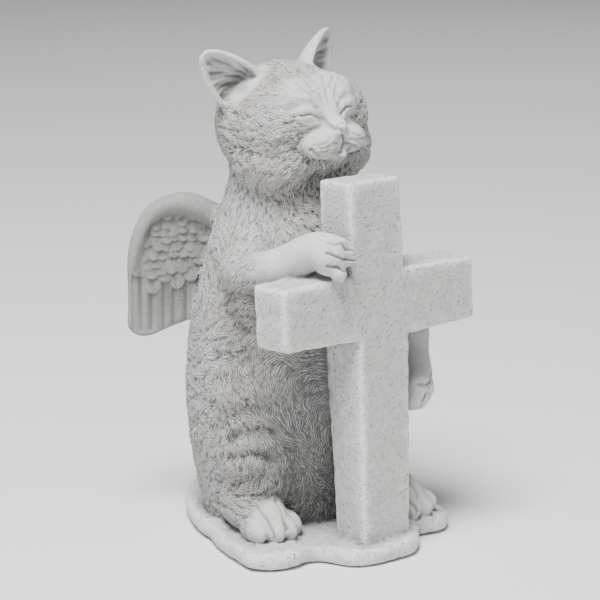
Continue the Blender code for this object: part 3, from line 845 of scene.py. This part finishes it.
# Strokes over the front of the head: (path of (x, z) pairs, radius, depth), raised where depth is negative
FACE_STROKES = [
    # Lids: the swell above and below each closed line, then the line
    ([(-22, 26.4), (-18.5, 27), (-14.5, 25.8), (-12.4, 24)], 3.0, -0.8),
    ([(-22, 18.8), (-17, 19.4), (-13, 17.6)], 3.2, -0.5),
    ([(-22.4, 21.8), (-20.6, 23.0), (-18, 23.5), (-15.2, 23.0), (-13, 21.5), (-11.6, 19.6)], 1.25, 1.7),
    ([(10, 24.2), (13.5, 25.6), (18, 25.8)], 2.6, -0.8),
    ([(10.5, 18), (14, 19), (18.5, 19.6)], 2.8, -0.5),
    ([(8.4, 19.6), (10, 21.2), (12.4, 22.4), (15.4, 22.9), (18.6, 22.6)], 1.25, 1.7),
    # The crease under each brow, its inner hollow, and the line running out from each eye
    ([(-27, 27.6), (-22.9, 29.2), (-17.2, 30.2), (-13, 29), (-11, 26.6)], 2.4, 0.55),
    ([(-11.5, 27.5), (-10.2, 24.2), (-9.2, 20.6), (-8.4, 17.4)], 2.5, 1.5),
    ([(8.0, 26), (12, 28.4), (17, 28.6)], 2.2, 0.4),
    ([(7.6, 26), (7.2, 23), (7.0, 19.4)], 2.3, 1.4),
    ([(-22.4, 21.6), (-26.5, 20.2), (-31, 19.6)], 1.7, 0.8),
    ([(-13, 33), (-18, 34.2), (-24, 33.2), (-29, 30.4)], 3.4, -0.9),
    ([(11, 32), (16, 33), (21, 31.5)], 3.2, -0.8),
    # Furrows of the forehead, meeting between the brows
    ([(-3.1, 43), (-6.1, 39.2), (-6.0, 33.3), (-5.6, 27.7)], 1.5, 0.9),
    ([(7.1, 43.5), (2.4, 38.6), (-1.6, 33.4), (-2.6, 28)], 1.5, 1.0),
    ([(15.6, 41.3), (6.6, 38.3), (1.6, 32.8), (0.6, 27.6)], 1.5, 1.0),
    ([(12.7, 37), (8.7, 33), (6, 29)], 1.6, 0.9),
    ([(-15.3, 41.5), (-14.5, 38.7), (-11.4, 33.4)], 1.6, 0.7),
    ([(-22.5, 40), (-20.5, 37.5)], 1.6, 0.5),
    # Nose: the crease on either side, the edge of the pad, the nostrils and the groove down to the lip
    ([(-9.2, 20), (-7.8, 16), (-6.2, 12.6)], 2.6, 2.2),
    ([(7.8, 20), (8, 16), (7, 12.6)], 2.4, 1.9),
    ([(-4.4, 15.4), (-2.2, 16.8), (0.8, 17.0), (3.6, 16.2), (5.4, 14.8)], 1.3, 0.8),
    ([(-5.2, 14.6), (-4.9, 12), (-2.8, 9.2), (0.6, 7.2), (3.9, 9.0), (5.9, 11.6), (6.2, 14)], 1.5, 2.0),
    ([(-4.4, 11.4), (-3.1, 11.0), (-2.4, 11.5)], 1.4, 2.3),
    ([(5.2, 11.2), (4.1, 10.8), (3.4, 11.3)], 1.4, 2.3),
    ([(0.7, 8.2), (1.2, 5), (1.6, 1.4)], 1.3, 2.0),
    # Mouth, and the hollows beneath its corners and round the chin
    (
        [(1.8, 1.0), (-1.6, -1.8), (-6.6, -4.1), (-11.6, -5.6), (-16.6, -4.6), (-20.4, -1.6), (-22.2, 2.4)],
        1.5, 2.4,
    ),
    ([(1.8, 1.0), (5.3, -1.2), (10.5, -3.6), (16, -5), (21, -4)], 1.5, 2.4),
    ([(-19, -8.2), (-12, -11), (-5.5, -10.4)], 4.2, 2.6),
    ([(8.8, -9.8), (14, -10.4), (19, -9)], 4.2, 2.4),
    ([(-3.0, -3.2), (-3.2, -6.4), (-1, -9.2), (2, -9.9), (5, -9), (6.6, -6.2), (6.2, -3.4)], 1.5, 1.7),
    ([(1.7, -4.9), (1.8, -5.4)], 3.0, -0.9),
    # The fold of the cheek behind each puff
    ([(-24.4, 4), (-23, 9), (-19, 12.6), (-13, 14.8), (-7.5, 15.2)], 3.0, 1.1),
    ([(23, 4), (21, 9), (16.5, 12.8), (11, 14.6), (7.8, 14.6)], 3.0, 1.1),
    ([(-36, 5.5), (-30, 3.8), (-25, -1.6), (-20, -7.4), (-10.3, -10.6)], 5, 1.6),
    ([(34, 3.5), (29, 0), (24, -5), (18, -8.6), (10.5, -10.6)], 5, 1.6),
    # Rows of whisker pits
    ([(-3.4, 9.4), (-10.9, 7.6), (-17.1, 6.2), (-20.5, 6)], 1.3, 0.95),
    ([(-3.0, 6.6), (-10.9, 4.2), (-16.8, 2.4), (-20.6, 2.2)], 1.3, 0.95),
    ([(-1.2, 3.8), (-8, 0.8), (-14.2, -1.2), (-18.4, -1.2)], 1.3, 0.95),
    ([(6.4, 8.6), (11, 7.4), (16, 6)], 1.3, 0.95),
    ([(5.6, 6), (10, 4), (16, 2.2), (19, 1.8)], 1.3, 0.95),
    ([(4.6, 3.2), (8.9, 1), (14, -0.8)], 1.3, 0.95),
]


def in_front(head, x, z):
    """The foremost of the head's points near x and z."""
    close = np.flatnonzero((np.abs(head[:, 0] - x) < 1.6) & (np.abs(head[:, 2] - z) < 1.6))
    return tuple(head[close[np.argmin(head[close, 1])]])


def carve_face(skin):
    """Closed lids, nose, mouth, whisker rows and brow furrows."""
    head = skin.local(HEAD)
    for path, radius, depth in FACE_STROKES:
        rows = smooth_rows(path, 4) if len(path) > 2 else path
        skin.groove(HEAD, [in_front(head, x, z) for x, z in rows], radius, depth)
    skin.update()


def rim_line(spans):
    """The height of the lower inside edge of a wing's rolled rim over each span."""
    rows = smooth_rows([(span, height - radius) for span, height, radius in WING_RIM], 6)
    return np.interp(spans, rows[:, 0], rows[:, 1])


def carve_wings(skin):
    """Feathers on both faces of each wing, clear of its rim."""
    for side in (-1, 1):
        chance = np.random.default_rng(FEATHER_SEED)
        winged = skin.local(wing_frame(side))
        spans, heights, out = winged.T
        near = (np.abs(out) < 7) & (heights > 104) & (heights < 200) & (spans > 4)
        relief = wing_relief(spans, heights, chance)
        clear = ramp(rim_line(spans) - heights, -0.3, 1.4) * ramp(66.5 - spans, 0, 1.5)
        clear *= ramp(heights, 109.5, 113)
        front = np.array(wing_frame(side).to_3x3() @ Vector((0, 0, 1 / UNIT)))
        faced = skin.normals @ front
        sunk = np.where(faced > 0, 1.9, 1.1)
        push = near * clear * (relief - sunk) * ramp(np.abs(faced), 0.55, 0.8) * np.sign(faced)
        skin.points += front * (push * UNIT)[:, None]
        skin.soften(near * clear * 0.8, 3)


# How near a point of the skin must lie to the cross's surface to be part of it
CROSS_NEAR = 0.0007
CROSS_MARGIN = 0.004


def on_cross(skin, surface):
    """1 at every point that lies on the cross's own surface, given as a tree of its faces."""
    x, y, z = skin.local(CROSS).T
    close = (np.abs(x) < BAR_LENGTH / 2 + CROSS_MARGIN) & (z < CROSS_HEIGHT + CROSS_MARGIN)
    close &= (y > -CROSS_MARGIN / 2) & (y < CROSS_DEPTH + CROSS_MARGIN)
    close &= skin.points[:, 2] > SLAB_THICKNESS + 0.0006
    found = np.zeros(skin.count)
    for index in np.flatnonzero(close):
        if surface.find_nearest(skin.points[index], CROSS_NEAR)[0] is not None:
            found[index] = 1
    return found


# Half the body's width at each height, inside which a wing's panel counts as fur
BODY_REACH = ((100, 118, 150, 180, 203), (66, 64, 57, 50, 43))
# The lower edge of the smooth muzzle at each distance from the middle of the lip
LIP_LINE = ((5, 6, 12, 18, 22), (-11, -5, -5.8, -3.6, 0))
# The smooth stretch of each arm: (elbow, wrist, radius)
SMOOTH_ARMS = (((-57, -30, 157), (-35, -72, 180), 19), ((65, -36, 122), (50, -66, 82), 16))


def masks(skin, surface):
    """(furred, cross, slab, wing) shares for every point."""
    figure = skin.local(FIGURE)
    head = skin.local(HEAD)
    cross_share = on_cross(skin, surface)
    slab_share = (skin.points[:, 2] < SLAB_THICKNESS + 0.0009).astype(float)
    furred = (1 - cross_share) * (1 - slab_share)
    wing_share = np.zeros(skin.count)
    for side in (-1, 1):
        winged = skin.local(wing_frame(side))
        flat = (np.abs(winged[:, 2]) < 10) & (winged[:, 1] > 100) & (winged[:, 1] < 204)
        reach = np.hypot(figure[:, 0], figure[:, 1])
        body = np.interp(figure[:, 2], *BODY_REACH)
        wing_share = np.maximum(wing_share, (flat & (winged[:, 0] > 5)) * ramp(reach - body, 0.5, 3.5))
        toes = np.array((-53, -56, 8) if side < 0 else (42.5, -74, 8))
        furred *= 1 - 0.85 * ramp(1.2 - off_ball(figure, toes, (19, 20, 17)), 0, 0.25)
        furred *= 1 - 0.80 * ramp(1.25 - off_ball(head, (36 * side, 8, 50), (24, 15, 22)), 0, 0.25)
        furred *= 1 - 0.8 * ramp(1.2 - off_ball(head, (15 * side, -42, 22.5), (9, 8, 6.5)), 0, 0.3)
    furred *= 1 - wing_share
    lip = np.interp(np.abs(head[:, 0] - 1), *LIP_LINE)
    muzzle = ramp(1.2 - off_ball(head, (0.8, -48, 4), (25, 13, 13)), 0, 0.25)
    muzzle *= ramp(head[:, 2] - lip, -1.6, 0.4)
    furred *= 1 - 0.70 * muzzle
    furred *= 1 - 0.9 * ramp(1.3 - off_ball(head, (0.5, -46, 16), (8, 14, 15)), 0, 0.3)
    furred *= 1 - 0.62 * ramp(1.7 - off_ball(head, (0, -34, 33), (24, 14, 13)), 0, 0.9)
    for elbow, wrist, radius in SMOOTH_ARMS:
        start = np.array(elbow, float)
        along = np.array(wrist, float) - start
        share = (figure - start) @ along / (along @ along)
        away = np.linalg.norm(figure - start - np.clip(share, 0, 2)[:, None] * along, axis=1)
        furred *= 1 - 0.9 * ramp(share, 0.05, 0.55) * ramp(radius + 4 - away, 0, 4)
    return np.clip(furred, 0, 1), cross_share, slab_share, wing_share


def flow(skin):
    """The direction the fur lies in at every point, and the direction across it."""
    figure = skin.local(FIGURE)
    head = skin.local(HEAD)
    on_head = ramp(figure[:, 2], 210, 222)[:, None]
    from_nose = head - np.array((0, -52, 10.0))
    away = from_nose / np.linalg.norm(from_nose, axis=1)[:, None]
    away[:, 2] -= 0.35 * ramp(-head[:, 2], -10, 15)
    turn = np.array(HEAD)[:3, :3] / UNIT
    head_way = away @ turn.T
    angle = np.arctan2(figure[:, 0], -figure[:, 1])
    swirl = 0.9 * np.sin(figure[:, 2] / 22 + 1.3 * np.sin(2 * angle + 0.5))
    swirl += 0.5 * np.sin(3 * angle + figure[:, 2] / 31 + 2) + 0.35 * np.sin(angle)
    swirl += 0.55 * ramp(100 - figure[:, 2], 0, 50) * np.sign(angle)
    sideways = np.column_stack([np.cos(angle), np.sin(angle), np.zeros(skin.count)])
    body_way = sideways * np.sin(swirl)[:, None] - np.cos(swirl)[:, None] * np.array((0, 0, 1.0))
    way = body_way * (1 - on_head) + head_way * on_head
    way -= skin.normals * (way * skin.normals).sum(axis=1)[:, None]
    length = np.linalg.norm(way, axis=1)
    way[length < 0.05] = (0, 0, -1)
    way /= np.maximum(np.linalg.norm(way, axis=1), 1e-6)[:, None]
    return way, np.cross(skin.normals, way)


def carve_locks(skin, furred, way, size, twisted, most, seed):
    """Overlapping locks of a (length, width, depth): each rises to its tip, then drops onto the next."""
    long, wide, deep = size
    chance = np.random.default_rng(seed)
    candidates = np.flatnonzero(furred > 0.12)
    spacing = wide * 1.05
    taken = set()
    seeds = []
    for index in chance.permutation(candidates):
        cell = tuple((skin.points[index] // spacing).astype(int))
        if cell not in taken:
            taken.add(cell)
            seeds.append(index)
    seeds = np.array(seeds)
    places = skin.points[seeds]
    normals = skin.normals[seeds]
    twist = chance.normal(0, twisted, len(seeds))
    across = np.cross(normals, way[seeds])
    heading = way[seeds] * np.cos(twist)[:, None] + across * np.sin(twist)[:, None]
    across = np.cross(normals, heading)
    lengths = long * chance.uniform(0.7, 1.25, len(seeds))
    widths = wide * chance.uniform(0.8, 1.2, len(seeds))
    tree = KDTree(len(seeds))
    for i, place in enumerate(places):
        tree.insert(place, i)
    tree.balance()
    near = np.array([[hit[1] for hit in tree.find_n(skin.points[i], most)] for i in candidates])
    height = np.zeros(len(candidates))
    for k in range(most):
        lock = near[:, k]
        apart = skin.points[candidates] - places[lock]
        along = (apart * heading[lock]).sum(axis=1) / lengths[lock]
        aside = (apart * across[lock]).sum(axis=1) / widths[lock] * 2
        body = np.clip(0.5 + along, 0, 1)
        taper = np.sqrt(np.clip(1 - np.clip(along * 1.6, 0, 1) ** 2, 0.05, 1))
        rounded = np.clip(1 - (aside / taper) ** 2, 0, 1)
        tip = ramp(0.62 - along, 0, 0.14)
        height = np.maximum(height, body * rounded * tip)
    push = (height - 0.45) * furred[candidates] * deep
    skin.points[candidates] += skin.normals[candidates] * push[:, None]
    skin.update()


def roughen(skin, share, depth, wavelength, seed):
    """Uneven stone: a sum of slow waves along the normals."""
    chance = np.random.default_rng(seed)
    total = np.zeros(skin.count)
    for _ in range(14):
        heading = chance.normal(size=3)
        heading /= np.linalg.norm(heading)
        turns = 2 * math.pi / (wavelength * chance.uniform(0.6, 1.8))
        total += np.sin(skin.points @ heading * turns + chance.uniform(0, 6.28))
    skin.points += skin.normals * (share * total * depth / 4)[:, None]


def hollowness(skin, rounds):
    """How far each point lies below the mean of its neighbourhood, in metres."""
    mean = skin.points.copy()
    for _ in range(rounds):
        mean += 0.5 * (skin.neighbour_mean(mean) - mean)
    return ((mean - skin.points) * skin.normals).sum(axis=1)


def store(mesh, name, values):
    """Keep a number or a vector for every vertex, for the material to read."""
    kind = "FLOAT_VECTOR" if values.ndim == 2 else "FLOAT"
    attribute = mesh.attributes.new(name, kind, "POINT")
    field = "vector" if values.ndim == 2 else "value"
    attribute.data.foreach_set(field, values.astype(np.float32).ravel())


# Material

class Nodes:
    """A short way to add shader nodes and link them."""

    def __init__(self, material):
        material.use_nodes = True
        self.tree = material.node_tree
        self.shader = self.tree.nodes["Principled BSDF"]

    def add(self, kind, links=(), **values):
        node = self.tree.nodes.new(kind)
        for name, value in values.items():
            setattr(node, name, value)
        for key, source in dict(links).items():
            if hasattr(source, "is_output"):
                self.tree.links.new(source, node.inputs[key])
            else:
                node.inputs[key].default_value = source
        return node

    def attribute(self, name, output="Fac"):
        return self.add("ShaderNodeAttribute", attribute_name=name).outputs[output]

    def math(self, operation, *values, clamp=False):
        links = dict(enumerate(values))
        return self.add("ShaderNodeMath", links, operation=operation, use_clamp=clamp).outputs[0]

    def vector(self, operation, one, two):
        return self.add("ShaderNodeVectorMath", {0: one, 1: two}, operation=operation).outputs[0]

    def dot(self, one, two):
        return self.add("ShaderNodeVectorMath", {0: one, 1: two}, operation="DOT_PRODUCT").outputs["Value"]

    def remap(self, value, low, high, to_low=0.0, to_high=1.0):
        links = {"Value": value, "From Min": low, "From Max": high, "To Min": to_low, "To Max": to_high}
        return self.add("ShaderNodeMapRange", links, clamp=True).outputs["Result"]

    def mix(self, share, one, two):
        node = self.add("ShaderNodeMix", data_type="RGBA")
        for index, source in ((0, share), (6, one), (7, two)):
            if hasattr(source, "is_output"):
                self.tree.links.new(source, node.inputs[index])
            else:
                node.inputs[index].default_value = source
        return node.outputs[2]

    def noise(self, place, scale, detail=3.0, roughness=0.55):
        links = {"Vector": place, "Scale": scale, "Detail": detail, "Roughness": roughness}
        return self.add("ShaderNodeTexNoise", links)


# Strands of hair: (size of a cell, width of a strand, shift of the pattern), in metres
BROAD_STRANDS = (0.0085, 0.0018, 0.0)
FINE_STRANDS = (0.0050, 0.0013, 0.37)
# How high the material's relief stands, in metres
HAIR_RELIEF = 0.00062
GRAIN_RELIEF = 0.00016
PEBBLE_RELIEF = 0.00050
PIT_RELIEF = 0.0008
# A matt surface
ROUGHNESS = 0.88
SHEEN = 0.25


def combed(nodes, place, size, pitch, seed):
    """Strands side by side in cells of a size, running with the fur: 1 on a strand, 0 between two."""
    drift = nodes.noise(place, 70.0, 2.0).outputs["Color"]
    drift = nodes.vector("SUBTRACT", drift, (0.5, 0.5, 0.5))
    drift = nodes.vector("MULTIPLY", drift, (size, size, size))
    moved = nodes.vector("ADD", nodes.vector("ADD", place, drift), (seed, seed, seed))
    links = {"Vector": moved, "Scale": 1 / size, "Randomness": 1.0}
    cells = nodes.add("ShaderNodeTexVoronoi", links, feature="F1")
    apart = nodes.vector("SUBTRACT", moved, cells.outputs["Position"])
    along = nodes.dot(apart, nodes.attribute("fur_way", "Vector"))
    aside = nodes.dot(apart, nodes.attribute("fur_across", "Vector"))
    chance = nodes.add("ShaderNodeSeparateColor", {"Color": cells.outputs["Color"]})
    turn = nodes.math("MULTIPLY", nodes.math("SUBTRACT", chance.outputs[0], 0.5), 1.7)
    offset = nodes.math("ADD", aside, nodes.math("MULTIPLY", along, turn))
    bend = nodes.math("MULTIPLY", nodes.math("MULTIPLY", along, along), 50.0)
    curve = nodes.math("SUBTRACT", chance.outputs[1], 0.5)
    offset = nodes.math("ADD", offset, nodes.math("MULTIPLY", bend, curve))
    phase = nodes.math("MULTIPLY", offset, 2 * math.pi / pitch)
    phase = nodes.math("ADD", phase, nodes.math("MULTIPLY", chance.outputs[2], 2 * math.pi))
    return nodes.math("ADD", nodes.math("MULTIPLY", nodes.math("SINE", phase), 0.5), 0.5)


def cast_stone(settings):
    """Pale cast stone: fine hair lines in the fur, pits on the bare faces, painted shade in the hollows,
    between the hairs, in the pits and under the arms and the bar, darker wing panels, and painted
    highlights on the stone's edges.
    """
    material = bpy.data.materials.new("cast_stone")
    nodes = Nodes(material)
    place = nodes.add("ShaderNodeTexCoord").outputs["Object"]
    furred = nodes.attribute("furred")
    hollow = nodes.attribute("hollow")
    bare = nodes.attribute("bare")
    edge_highlight = nodes.attribute("edge_highlight")
    broad = nodes.math("MULTIPLY", combed(nodes, place, *BROAD_STRANDS), 0.6)
    fine = nodes.math("MULTIPLY", combed(nodes, place, *FINE_STRANDS), 0.4)
    ragged = nodes.math("MULTIPLY", nodes.noise(place, 330.0, 2.0).outputs["Fac"], 0.5)
    hairs = nodes.math("ADD", nodes.math("ADD", broad, fine), ragged)
    hairs = nodes.remap(hairs, 0.45, 1.05)

    grain = nodes.noise(place, 1500.0, 3.0, 0.6).outputs["Fac"]
    pits = nodes.add(
        "ShaderNodeTexVoronoi", {"Vector": place, "Scale": 330.0, "Randomness": 1.0}, feature="F1"
    ).outputs["Distance"]
    pits = nodes.remap(pits, 0.10, 0.30)
    sparse = nodes.noise(place, 120.0, 2.0).outputs["Fac"]
    sparse = nodes.remap(sparse, 0.44, 0.56)
    pitted = nodes.math("MULTIPLY", nodes.math("SUBTRACT", 1.0, pits), sparse)
    pitted = nodes.math("MULTIPLY", pitted, bare)

    pebbles = nodes.remap(nodes.noise(place, 430.0, 2.5, 0.6).outputs["Fac"], 0.52, 0.68)
    pebbled = nodes.math("MULTIPLY", pebbles, nodes.remap(bare, 0.3, 1.0, 0.0, PEBBLE_RELIEF))
    relief = nodes.math("MULTIPLY", nodes.math("MULTIPLY", hairs, furred), HAIR_RELIEF)
    relief = nodes.math("ADD", relief, nodes.math("MULTIPLY", grain, GRAIN_RELIEF))
    relief = nodes.math("ADD", relief, pebbled)
    relief = nodes.math("SUBTRACT", relief, nodes.math("MULTIPLY", pitted, PIT_RELIEF))
    bump = nodes.add("ShaderNodeBump", {"Strength": 1.0, "Distance": 1.0, "Height": relief})

    patches = nodes.remap(nodes.noise(place, 26.0, 3.0).outputs["Fac"], 0.42, 0.66)
    patches = nodes.math("MULTIPLY", patches, nodes.remap(furred, 0.0, 1.0, 0.25, 1.0))
    colour = nodes.mix(patches, (*settings.stone, 1), (*settings.warm, 1))
    mottle_and_highlight = nodes.remap(nodes.noise(place, 420.0, 4.0, 0.7).outputs["Fac"], 0.32, 0.68, 0.88, 1.07)
    # Painted highlight: the colour is raised on the stone's convex edges, over the random mottling
    mottle_and_highlight = nodes.math("ADD", mottle_and_highlight, nodes.math("MULTIPLY", edge_highlight, 0.26))
    mottle_and_highlight = nodes.math("SUBTRACT", mottle_and_highlight, nodes.remap(bare, 0.4, 1.0, 0.0, 0.10))
    # Painted shade: the stored share darkens the hollows, the skin under the arms and the bar, and the wing
    # panels
    shade = nodes.math("MULTIPLY", hollow, 0.95)
    # Painted shade between the strands of hair, deeper where the skin is shaded
    lines = nodes.math("MULTIPLY", nodes.math("SUBTRACT", 1.0, hairs), furred)
    lines = nodes.math("MULTIPLY", lines, nodes.remap(hollow, 0.0, 0.5, 0.36, 0.68))
    shade = nodes.math("ADD", shade, lines)
    # Painted shade in the pits of the bare stone
    shade = nodes.math("ADD", shade, nodes.math("MULTIPLY", pitted, 0.4), clamp=True)
    # Painted shade: the dark colour is mixed in by the shade share
    colour = nodes.mix(shade, colour, (*settings.wash_and_shade, 1))
    colour = nodes.add("ShaderNodeVectorMath", {0: colour, 3: mottle_and_highlight}, operation="SCALE").outputs[0]
    nodes.tree.links.new(colour, nodes.shader.inputs["Base Color"])
    nodes.tree.links.new(bump.outputs["Normal"], nodes.shader.inputs["Normal"])
    nodes.shader.inputs["Roughness"].default_value = ROUGHNESS
    nodes.shader.inputs["Specular IOR Level"].default_value = SHEEN
    return material


def fit_box(skin):
    """Draw in the few points that carving has pushed past the solid's bounds."""
    for axis in range(3):
        for sign, limit in ((1, CAD_BOX[1][axis]), (-1, -CAD_BOX[0][axis])):
            values = skin.points[:, axis] * sign
            start = limit - BOX_MARGIN
            most = values.max()
            if most > limit - BOX_GAP:
                share = (BOX_MARGIN - BOX_GAP) / (most - start)
                values = np.where(values > start, start + (values - start) * share, values)
                skin.points[:, axis] = values * sign
    skin.points[:, 2] = np.where(skin.points[:, 2] < FLAT_UNDER, 0.0, skin.points[:, 2])
    skin.update()


def painted_shade_share(skin, furred, wing_share):
    """Painted shade at each point: darker in its hollows and under the arms and the bar, more on the lower
    thigh, less on the upper chest, and darker on the wing panels.
    """
    # Painted shade in the small and the broad hollows of the skin
    fine = ramp(hollowness(skin, 10), -0.00008, 0.00055)
    broad = ramp(hollowness(skin, 80), -0.0004, 0.0022)
    x, y, z = skin.local(FIGURE).T
    # Painted shadow under the bar and the arms, across the front of the body
    behind = ramp(x, -72, -54) * ramp(172 - z, 0, 24) * ramp(-y, -2, 24)
    behind *= (0.65 + 0.35 * ramp(x, -45, -22)) * (1 - ramp(x, 25, 45))
    thigh = ramp(84 - z, 0, 20) * ramp(z, 18, 30) * ramp(-x, 30, 45)
    chest = ramp(z, 165, 180) * ramp(214 - z, 0, 12)
    # Over the fur: a little darker everywhere, the painted shadow under the arms and the bar, more on the
    # lower thigh and less on the upper chest
    shade_share = 0.44 * fine + 0.44 * broad + furred * (0.05 + (0.44 + 0.16 * thigh) * behind - 0.10 * chest)
    # The wing panels are made darker as well
    return np.clip(shade_share + 0.72 * wing_share, 0, 1)


class MEMORIAL_OT_statue(bpy.types.Operator):
    """Model and carve the statue, and put it in the place of the CAD node"""

    bl_idname = "memorial.statue"
    bl_label = "Build statue"

    def execute(self, context):
        settings = context.scene.memorial_statue
        grain = settings.grain * 1
        body = fused(main_masses(), *BODY_CLAY)
        limbs = [*right_arm(), *left_arm(), *foot(-1, 52, -50), *foot(1, 42.5, -68), *tail()]
        cat = fused([body, *limbs, *wing(-1), *wing(1), *face()], *CAT_CLAY)
        carve_forms(Skin(cat))
        standing = cross()
        surface = BVHTree.FromObject(standing, context.evaluated_depsgraph_get())
        statue = fused([cat, slab(), standing], grain, FINISHED_ROUNDS)
        refine(statue)
        statue.name = "cast_statue"
        skin = Skin(statue)
        carve_face(skin)
        carve_toes(skin)
        carve_ears(skin)
        carve_wings(skin)
        furred, cross_share, slab_share, wing_share = masks(skin, surface)
        way, across = flow(skin)
        clump = (settings.clump_length, settings.clump_width, settings.clump_depth)
        carve_locks(skin, furred**2, way, clump, *CLUMPS)
        lock = (settings.lock_length, settings.lock_width, settings.lock_depth)
        carve_locks(skin, furred, way, lock, *LOCKS)
        stony = np.maximum(cross_share, slab_share)
        roughen(skin, stony, *STONE_WAVES)
        roughen(skin, slab_share, *SLAB_WAVES)
        fit_box(skin)
        # Painted shade: how far the dark colour is mixed in at each point
        hollow = painted_shade_share(skin, furred, wing_share)
        store(skin.mesh, "furred", furred)
        store(skin.mesh, "hollow", hollow)
        # Painted highlight: a lighter colour on the convex edges of the cross and the slab
        store(skin.mesh, "edge_highlight", ramp(-hollowness(skin, 40), 0.00012, 0.0007) * stony)
        store(skin.mesh, "bare", np.clip(stony + 0.35 * (1 - furred), 0, 1))
        store(skin.mesh, "fur_way", way)
        store(skin.mesh, "fur_across", across)
        made_active(statue)
        thin = statue.modifiers.new("fewer_faces", "DECIMATE")
        total = sum(len(face.vertices) - 2 for face in skin.mesh.polygons)
        thin.ratio = min(1.0, settings.triangles / total)
        thin.use_collapse_triangulate = True
        bpy.ops.object.modifier_apply(modifier=thin.name)
        bpy.ops.object.shade_smooth()
        thinned = Skin(statue)
        thinned.points = np.clip(thinned.points, CAD_BOX[0], CAD_BOX[1])
        thinned.update()
        statue.data.materials.clear()
        statue.data.materials.append(cast_stone(settings))
        print("statue:", total, "->", len(statue.data.polygons), "triangles")
        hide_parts(NODE)
        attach(statue, "root")
        return {"FINISHED"}


# What the camera looks at: a point just above the bar, by its end on the cat's right
LOOKED_AT = (-0.072, CROSS_FRONT_Y, 0.1621 + SLAB_THICKNESS)
# Soft lights, all turned to the statue's middle: (name, place, size, power in watts, colour)
LIT_MIDDLE = (0, 0, 0.15)
LIGHTS = (
    ("key", (-0.9, -0.5, 2.4), 1.1, 165, (1.0, 0.99, 0.98)),
    ("fill", (-2.2, -1.2, 0.8), 1.4, 12, (0.97, 0.98, 1.0)),
    ("front", (1.6, -2.0, 0.9), 1.4, 9, (1.0, 1.0, 1.0)),
    ("rim", (1.8, 1.2, 1.6), 1.2, 6, (1.0, 1.0, 1.0)),
)
SKY_COLOUR = (0.9, 0.92, 0.95, 1)
SKY_STRENGTH = 0.12


class MEMORIAL_OT_stage(bpy.types.Operator):
    """Add a plain pale floor, soft lights and the camera"""

    bl_idname = "memorial.stage"
    bl_label = "Build stage"

    def execute(self, context):
        settings = context.scene.memorial_stage
        bpy.ops.object.select_all(action="DESELECT")
        bpy.ops.mesh.primitive_plane_add(size=settings.floor_size)
        floor = context.object
        floor.name = "floor"
        paint = bpy.data.materials.new("floor_paint")
        nodes = Nodes(paint)
        nodes.shader.inputs["Base Color"].default_value = (*settings.floor, 1)
        nodes.shader.inputs["Roughness"].default_value = 0.9
        floor.data.materials.append(paint)

        target = Vector(LOOKED_AT)
        flat = math.cos(settings.elevation)
        turn = settings.azimuth
        back = Vector((math.sin(turn) * flat, -math.cos(turn) * flat, math.sin(settings.elevation)))
        lens = bpy.data.cameras.new("camera")
        lens.sensor_width = 36
        lens.lens = lens.sensor_width / 2 / math.tan(settings.field / 2)
        lens.clip_end = 100
        camera = bpy.data.objects.new("camera", lens)
        context.scene.collection.objects.link(camera)
        camera.matrix_world = Matrix.Translation(target + back * settings.distance) @ (
            (-back).to_track_quat("-Z", "Y").to_matrix().to_4x4()
        )
        context.scene.camera = camera

        for name, place, size, power, tint in LIGHTS:
            light = bpy.data.lights.new(name, "AREA")
            light.size = size
            light.energy = power
            light.color = tint
            lamp = bpy.data.objects.new(name, light)
            context.scene.collection.objects.link(lamp)
            aim = Vector(LIT_MIDDLE) - Vector(place)
            facing = aim.to_track_quat("-Z", "Y").to_matrix().to_4x4()
            lamp.matrix_world = Matrix.Translation(place) @ facing
        world = bpy.data.worlds.new("studio")
        world.use_nodes = True
        sky = world.node_tree.nodes["Background"]
        sky.inputs["Color"].default_value = SKY_COLOUR
        sky.inputs["Strength"].default_value = SKY_STRENGTH
        context.scene.world = world
        return {"FINISHED"}


class MEMORIAL_PT_panel(bpy.types.Panel):
    """Lists the statue's and the stage's settings and operators"""

    bl_label = "Memorial"
    bl_idname = "MEMORIAL_PT_panel"
    bl_space_type = "VIEW_3D"
    bl_region_type = "UI"
    bl_category = "Memorial"

    def draw(self, context):
        for settings, operator in (
            (context.scene.memorial_statue, MEMORIAL_OT_statue),
            (context.scene.memorial_stage, MEMORIAL_OT_stage),
        ):
            box = self.layout.box()
            for name in settings.__annotations__:
                box.prop(settings, name)
            box.operator(operator.bl_idname)


CLASSES = (StatueSettings, StageSettings, MEMORIAL_OT_statue, MEMORIAL_OT_stage, MEMORIAL_PT_panel)


def register():
    for made in CLASSES:
        bpy.utils.register_class(made)
    bpy.types.Scene.memorial_statue = bpy.props.PointerProperty(type=StatueSettings)
    bpy.types.Scene.memorial_stage = bpy.props.PointerProperty(type=StageSettings)


def unregister():
    del bpy.types.Scene.memorial_stage
    del bpy.types.Scene.memorial_statue
    for made in reversed(CLASSES):
        bpy.utils.unregister_class(made)


def main():
    """Build the statue and its stage."""
    register()
    bpy.ops.memorial.statue()
    bpy.ops.memorial.stage()


if __name__ == "__main__":
    main()
